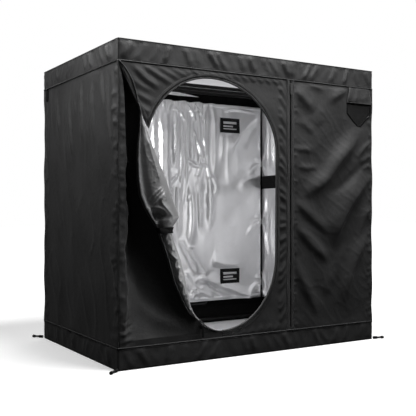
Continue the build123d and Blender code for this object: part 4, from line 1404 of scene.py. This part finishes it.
def build_on_liner():
    """Hems, patches and the webbing band, all on the curtains' relief."""
    left, right = liner_left_u + 1, liner_right_u - 1
    low_edge = [(u, liner_low + 7) for u in np.linspace(left, right, 160)]
    top_edge = [(u, curtain_top(u) - 6) for u in np.linspace(left, right, 240)]
    for name, path, half, high in (("hem", low_edge, 7, 1.0), ("top", top_edge, 6, 1.2)):
        hem = swept(f"curtain_back_{name}", LINER_BACK, path, flat_profile(-half, half, -0.4, high),
                    [silver_film], lift=back_folds)
        declare(hem, ROOT, ())
    for name, z in zip(("patch_upper", "patch_lower"), PATCH_HEIGHTS):
        build_patch(name, z)
    near, far = span("side_wall_strap", Y)
    path = [(u, BAND_MIDDLE + 0.8 * math.sin(u / 60)) for u in np.linspace(near, far, 70)]
    half = (band_high - band_low) / 2
    band = swept("right_wall_webbing", LINER_RIGHT, path, flat_profile(-half, half, 0.6, 2.4), [webbing],
                 lift=right_folds)
    declare(band, ROOT, ["side_wall_strap"])


build_on_liner()
build_liner()
build_heading()

# ---- Edges of the doorway, and the zips ---------------------------------------------------------
DOOR_TAPE = 10.0           # width of the door's zip tape


def build_doorway():
    """The opening's bound edge, its zip tape and teeth, and their stitches."""
    piece = swept("doorway_binding", FRONT, opening_edge(-2.0), round_profile(-2.8, 2.8, -2.2, 1.7),
                  [bound_tape])
    declare(piece, ROOT, ["opening_binding"])
    half = DOOR_TAPE / 2
    piece = swept("doorway_zip_tape", FRONT, opening_edge(1.0 + half), flat_profile(-half, half, 0.0, 0.9),
                  [zip_cloth], lift=front_relief)
    declare(piece, ROOT, ["door_zip_tape"])
    u, v = np.array(opening_edge(2.4)).T
    points, ahead = spaced(FRONT.place(u, v, 1.6), 2.6)
    out = all_facing(TO_FRONT, points)
    teeth = small_blocks("doorway_zip_teeth", points, np.cross(ahead, out), out, (2.8, 1.5, 1.2), [zip_nylon])
    declare(teeth, ROOT, ())
    paths = []
    for grow in (4.6, DOOR_TAPE - 0.4):
        u, v = np.array(opening_edge(grow)).T
        paths.append(FRONT.place(u, v, front_relief(u, v) + 1.1))
    declare(stitches("doorway_stitches", paths, [TO_FRONT] * 2, thread), ROOT, ())


def build_straight_zip():
    """Two tapes with their raised edges, the teeth between them and a guard strip behind."""
    tall = np.linspace(bottom_seam - 2, top_seam, 150)
    for name, sign in (("left", -1), ("right", 1)):
        middle = zip_x + sign * 7.2
        path = [(middle + 0.5 * math.sin(z / 37 + sign), z) for z in tall]
        piece = swept(f"side_zip_tape_{name}", FRONT, path, flat_profile(-4.6, 4.6, -1.2, 0.8), [zip_cloth],
                      lift=lambda u, v: 0.8 + 0.5 * np.sin(v / 21.0))
        declare(piece, ROOT, ["side_zip_tapes"] if sign > 0 else ())
        rim = [(middle + sign * 4.4 + 0.5 * math.sin(z / 37 + sign), z) for z in tall]
        piece = swept(f"side_zip_edge_{name}", FRONT, rim, round_profile(-1.4, 1.4, 0.0, 2.6), [flap_tape],
                      lift=lambda u, v: 0.4 + 0.5 * np.sin(v / 21.0))
        declare(piece, ROOT, ())
    rows = []
    heights = np.arange(bottom_seam + 4, top_seam - 2, 2.4)
    for sign in (-1, 1):
        rows.append(FRONT.place(np.full_like(heights, zip_x + sign * 1.7), heights + 0.6 * sign, -1.4))
    centres = np.vstack(rows)
    along, out = all_facing((1.0, 0.0, 0.0), centres), all_facing(TO_FRONT, centres)
    teeth = small_blocks("side_zip_coil", centres, along, out, (4.4, 1.1, 1.9), [zip_nylon])
    declare(teeth, ROOT, ["side_zip_teeth"])
    path = [(zip_x, z) for z in tall]
    piece = swept("side_zip_guard", FRONT, path, flat_profile(-7.5, 7.5, -3.4, -2.4), [shade_dark_cloth])
    declare(piece, ROOT, ())
    paths = [FRONT.place(np.full_like(tall, zip_x + offset), tall, 1.5) for offset in (-8.4, 8.4)]
    declare(stitches("side_zip_stitches", paths, [TO_FRONT] * 2, thread), ROOT, ())


build_doorway()
build_straight_zip()


# ---- Seams, corners and piping ------------------------------------------------------------------
def build_seams():
    """Piping along the bands' seams, the roof's rim and the corners, and rows of stitches."""
    u = np.linspace(0, lap_round, 520)[:-1]
    for name, z, out, radius, tape in (("top_seam_piping", top_seam + 0.5, 2.6, 1.5, bound_tape),
                                       ("bottom_seam_piping", bottom_seam + BOTTOM_LAP, 2.4, 1.4, bound_tape),
                                       ("roof_piping", height - 1.5, 1.2, 1.7, dark_tape)):
        line = Ring().place(u, np.full_like(u, z), out)
        declare(closed_cord(name, line, radius, [tape]), ROOT, ())
    z = np.linspace(bottom_seam - 2, top_seam, 160)
    fade = smoothstep((z - bottom_seam) / 60) * smoothstep((top_seam - z) / 60)
    for end, sy in (("front", -1), ("back", 1)):
        for side, sx in (("left", -1), ("right", 1)):
            pull = corner_waver(z + 13 * sx) * fade
            line = np.column_stack([sx * (half_w + 0.2 - pull), sy * (half_d + 0.2 - 0.5 * pull), z]) * MM
            declare(tube(f"corner_piping_{end}_{side}", line, 1.7, [dark_tape]), ROOT, ())
    paths, outs = [], []
    rings = ((top_seam + 4, 2.2), (bottom_seam - 1, 2.2), (height - 6, 1.8))
    start = 0.0
    for length, out in ((width, (0, -1, 0)), (depth, (1, 0, 0)), (width, (0, 1, 0)), (depth, (-1, 0, 0))):
        run = np.linspace(start + 8, start + length - 8, 200)
        for z_at, lift in rings:
            paths.append(Ring().place(run, np.full_like(run, z_at), lift))
            outs.append(out)
        start += length
    declare(stitches("seam_stitches", paths, outs, thread, pitch=5.5), ROOT, ())


def closed_cord(name, line, radius, materials):
    """A round cord in a closed level loop, through points in metres."""
    ahead = np.roll(line, -1, axis=0) - np.roll(line, 1, axis=0)
    ahead /= np.linalg.norm(ahead, axis=1)[:, None]
    up = np.array([0.0, 0.0, 1.0])
    turns = np.linspace(0, 2 * math.pi, CORD_SIDES, endpoint=False)
    rings = [p + radius * MM * (np.cos(turns)[:, None] * a + np.sin(turns)[:, None] * up)
             for p, a in zip(line, np.cross(ahead, up))]
    return lofted(name, rings + rings[:1], materials, closed=True)


build_seams()

# ---- Vent window and cable port -----------------------------------------------------------------
NET_PITCH = 2.6
STRAND = 0.45              # half the thickness of the net's strands


def build_vent():
    """The vent window: border, net, a filter cloth behind it, and the hood over its top."""
    outline = dense(vent_outline(2.0), 4.0)
    path = np.array(outline + outline[:2])
    # The border is in the darkened cloth: painted shade for the gap round the window.
    piece = swept("vent_border", FRONT, path, round_profile(-3.0, 3.0, -1.0, 2.0), [shade_dark_cloth])
    declare(piece, ROOT, ["vent_piping"])
    sides = np.array(vent_outline(1.0))
    upright = np.arange(vent_x - vent_half, vent_x + vent_half, NET_PITCH)
    level = np.arange(vent_low, vent_lid, NET_PITCH)
    bars = [net_bar(sides, x, upright=True) for x in upright]
    bars += [net_bar(sides, z, upright=False) for z in level]
    vertices, faces = [], []
    for bar in bars:
        if bar is None:
            continue
        start = len(vertices)
        vertices += list(bar)
        faces += [tuple(start + k for k in q) for q in BOX_FACES]
    piece = new_object("vent_net", vertices, faces, [net_cloth], smooth=False)
    declare(piece, ROOT, ["vent_mesh"])
    outline = vent_outline(4.0)
    backing = cloth("vent_filter", FRONT, [outline], lambda u, v: -5.0 + 2.4 * creases(u, v, 34, 83),
                    [cover_cloth], thickness=0.8)
    declare(backing, ROOT, ())
    left, right = span("vent_hood", X)
    low, high = span("vent_hood", Z)
    out = -span("vent_hood", Y)[0] - FABRIC

    def hood_relief(u, v):
        down = np.clip((high - v) / (high - low), 0, 1)
        h = out + 3.0 * np.sin(math.pi * (u - left) / (right - left)) * down
        for k in range(4):
            h = h + fold(u, v, [(left + 18 + 24 * k, high), (left + 14 + 26 * k, low)], 8, 1.6)
        return h + 1.2 + 0.6 * ripple(u, v, 40, 81)
    outline = [(left + 12, high), (left, low), (right, low), (right - 12, high)]
    piece = cloth("vent_hood_cloth", FRONT, [outline], hood_relief, [band_cloth], step=5.0)
    declare(piece, "hood_body", ["vent_hood"])
    path = [(u, low + 1.0) for u in np.linspace(left + 1, right - 1, 40)]
    piece = swept("vent_hood_hem", FRONT, path, round_profile(-2.0, 2.0, -1.4, 0.5), [band_cloth],
                  lift=hood_relief)
    declare(piece, "hood_body", ())


def net_bar(outline, at, upright):
    """One strand of the net across a convex outline, as eight corners, or None where it misses."""
    axis, other = (0, 1) if upright else (1, 0)
    hits = []
    for p, q in zip(outline, np.roll(outline, -1, axis=0)):
        if (p[axis] - at) * (q[axis] - at) < 0:
            share = (at - p[axis]) / (q[axis] - p[axis])
            hits.append(p[other] + share * (q[other] - p[other]))
    if len(hits) < 2:
        return None
    depth_in = -0.9 if upright else -0.5
    corners = []
    for run in (min(hits), max(hits)):
        for side, h in ((-STRAND, -STRAND), (STRAND, -STRAND), (STRAND, STRAND), (-STRAND, STRAND)):
            u, v = (at + side, run) if upright else (run, at + side)
            corners.append(FRONT.place(np.array(u), np.array(v), depth_in + h))
    return corners


def build_port():
    """The cable port's border, and the flap that hangs over it."""
    rim = dense(port_outline, 4.0)
    path = np.array(rim + rim[:2])
    piece = swept("port_border", BACK, path[::-1], round_profile(-0.5, 5.0, -1.0, 1.8), [bound_tape])
    declare(piece, ROOT, ["cable_port_binding"])
    left, right = span("cable_port_flap", X)
    low, high = span("cable_port_flap", Z)
    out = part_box("cable_port_flap")[0].y / MM - half_d

    def flap_relief(u, v):
        return out + FABRIC + 1.2 * np.sin(math.pi * (u - left) / (right - left)) + 0.4 * ripple(u, v, 40, 82)
    outline = rounded_box(left, right, low, high, 6.0)
    piece = cloth("port_flap_cloth", BACK, [outline], flap_relief, [cover_cloth], step=5.0)
    declare(piece, "port_flap_body", ["cable_port_flap"])


build_vent()
build_port()


# ---- Ceiling, floor mat and tray ----------------------------------------------------------------
def level_sheet(name, node, material, facing, relief, step, clear=0.0):
    """A loose level sheet in place of a CAD slab, flat along its edges over the clear width."""
    low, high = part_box(node)
    u_room, v_room = (high.x - low.x) / MM, (high.y - low.y) / MM
    origin = (low.x / MM, low.y / MM, (high.z if facing > 0 else low.z) / MM)
    board = Board(origin, (1, 0, 0), (0, 1, 0), (0, 0, facing), follows_corners=False)

    def held(u, v):
        return relief(u, v) * off_edges(u, v, clear, u_room - clear, clear, v_room - clear, reach=40)
    return cloth(name, board, [rectangle(0, u_room, 0, v_room)], held, [material], thickness=0.8, step=step)


def build_inside_floor():
    """The ceiling film, the floor mat and the cover's floor."""
    def slack(u, v):
        h = 1.4 * ripple(u, v, 150, 91, stretch=1.6, turn=30)
        h += 2.0 * creases(u, v, 120, 92, stretch=2.0, turn=-30)
        return np.clip(h + 0.6, 0, 5)

    def under_roof(u, v):
        return roof_sag(u, v) + 3.0 + slack(u, v)
    ceiling = level_sheet("ceiling_film", "liner_roof", ceiling_silver, -1, under_roof, 9.0, clear=30.0)
    declare(ceiling, ROOT, ["liner_roof"])
    mat = level_sheet("floor_mat_cloth", "floor_mat", ceiling_silver, 1, slack, 9.0)
    declare(mat, ROOT, ["floor_mat"])
    base = level_sheet("cover_floor", "floor_panel", shade_dark_cloth, 1, lambda u, v: 0.0 * u, 20.0)
    declare(base, ROOT, ["floor_panel"])
    # The tray in the darkened cloth: painted shade.
    finish_cad(shade_dark_cloth, "floor_tray")
    finish_cad(silver_film, "pole_ties")


build_inside_floor()

# ---- Camera, light and floor --------------------------------------------------------------------
CAMERA_PLACE = (-1.27219, -2.07014, 0.43548)
CAMERA_YAW = 31.62
CAMERA_LENS = 62.955


def build_camera():
    """A level camera at the left, in front of the tent."""
    data = bpy.data.cameras.new("camera")
    data.lens = CAMERA_LENS
    data.sensor_width = 36
    data.clip_start = 0.05
    camera = bpy.data.objects.new("camera", data)
    camera.location = CAMERA_PLACE
    camera.rotation_euler = (math.radians(90), 0, math.radians(-CAMERA_YAW))
    bpy.context.scene.collection.objects.link(camera)
    bpy.context.scene.camera = camera


def area_light(name, place, target, size, power):
    """A rectangular light at a place, aimed at a target; its size is across and along."""
    data = bpy.data.lights.new(name, "AREA")
    data.shape = "RECTANGLE"
    data.size, data.size_y = size
    data.energy = power
    light = bpy.data.objects.new(name, data)
    light.visible_camera = False
    light.location = place
    way = Vector(target) - Vector(place)
    light.rotation_euler = way.to_track_quat("-Z", "Y").to_euler()
    bpy.context.scene.collection.objects.link(light)


def build_light():
    """Soft lights round the tent and weak ones in its cabin."""
    # Two strips close over the front and the left side, so that both get darker towards the floor.
    area_light("front_strip", (0.14, -0.88, 1.36), (0.14, -0.295, 0.72), (1.1, 0.25), 7.4)
    area_light("left_strip", (-0.91, 0.05, 1.22), (-0.46, 0.05, 0.80), (0.25, 0.7), 7.0)
    # The same behind and to the right, so that the cloth there can be made out.
    area_light("back_strip", (0.0, 0.92, 1.36), (0.0, 0.33, 0.70), (1.1, 0.25), 6.0)
    area_light("right_strip", (0.98, 0.0, 1.30), (0.46, 0.0, 0.76), (0.25, 0.7), 4.5)
    # A large soft key far to the right: it throws the shadow to the left.
    area_light("key", (2.6, -2.0, 2.2), (0.0, 0.0, 0.3), (1.4, 1.4), 14)
    # Light in the cabin: along the curtain from the left, up to the ceiling, and down from the top.
    area_light("cabin_side", (-0.25, 0.17, 0.48), (-0.08, 0.27, 0.44), (0.08, 0.60), 0.90)
    area_light("cabin_fill", (0.26, -0.18, 0.44), (0.14, 0.27, 0.38), (0.26, 0.52), 0.46)
    area_light("cabin_up", (0.02, 0.15, 0.869), (0.02, 0.15, 0.89), (0.80, 0.24), 0.20)
    area_light("cabin_down", (0.02, -0.24, 0.80), (-0.02, 0.27, 0.30), (0.55, 0.10), 0.2)
    # A weak light close to the doorway's left edge, for the foil under the strap.
    area_light("foil_fill", (-0.10, -0.42, 0.28), (-0.28, -0.31, 0.25), (0.04, 0.26), 0.22)
    # A wide light overhead, a little to the front and right: its shadow stays close to the left side.
    area_light("overhead", (0.13, -0.80, 3.0), (0.0, -0.2, 0.0), (0.8, 0.7), 80)


def build_stage():
    """A pale floor that is brighter far off, under a white surround that lights only faintly."""
    size = 14.0
    corners = [(-size, -size, 0), (size, -size, 0), (size, size, 0), (-size, size, 0)]
    made = Finish("stage_white", (0.8, 0.8, 0.8), 1.0)
    made.shader.inputs["Specular IOR Level"].default_value = 0.0
    away = made.node("ShaderNodeVectorMath", {"operation": "LENGTH"})
    made.tree.links.new(made.place, away.inputs[0])
    fade = made.node("ShaderNodeMapRange", Value=away.outputs["Value"], From_Min=0.8, From_Max=2.2,
                     To_Min=0.31, To_Max=1.1)
    glow = made.node("ShaderNodeEmission", Color=(1, 1, 1, 1), Strength=fade.outputs["Result"])
    lit = made.node("ShaderNodeAddShader")
    dark = made.node("ShaderNodeBsdfDiffuse", Color=(0.03, 0.03, 0.03, 1))
    seen = made.node("ShaderNodeLightPath").outputs["Is Camera Ray"]
    mix = made.node("ShaderNodeMixShader", Fac=seen)
    links = made.tree.links
    links.new(made.shader.outputs[0], lit.inputs[0])
    links.new(glow.outputs[0], lit.inputs[1])
    links.new(dark.outputs[0], mix.inputs[1])
    links.new(lit.outputs[0], mix.inputs[2])
    links.new(mix.outputs[0], made.tree.nodes["Material Output"].inputs["Surface"])
    floor = new_object("floor", corners, [(0, 1, 2, 3)], [made.material], smooth=False)
    floor.location.z = -0.0003
    world = bpy.data.worlds.new("studio")
    world.use_nodes = True
    tree = world.node_tree
    back = tree.nodes["Background"]
    back.inputs["Color"].default_value = (1, 1, 1, 1)
    path = tree.nodes.new("ShaderNodeLightPath")
    strength = tree.nodes.new("ShaderNodeMapRange")
    strength.inputs["To Min"].default_value = 0.03
    strength.inputs["To Max"].default_value = 1.0
    tree.links.new(path.outputs["Is Camera Ray"], strength.inputs["Value"])
    tree.links.new(strength.outputs["Result"], back.inputs["Strength"])
    bpy.context.scene.world = world
    bpy.context.scene.view_settings.view_transform = "Standard"


build_camera()
build_light()
build_stage()
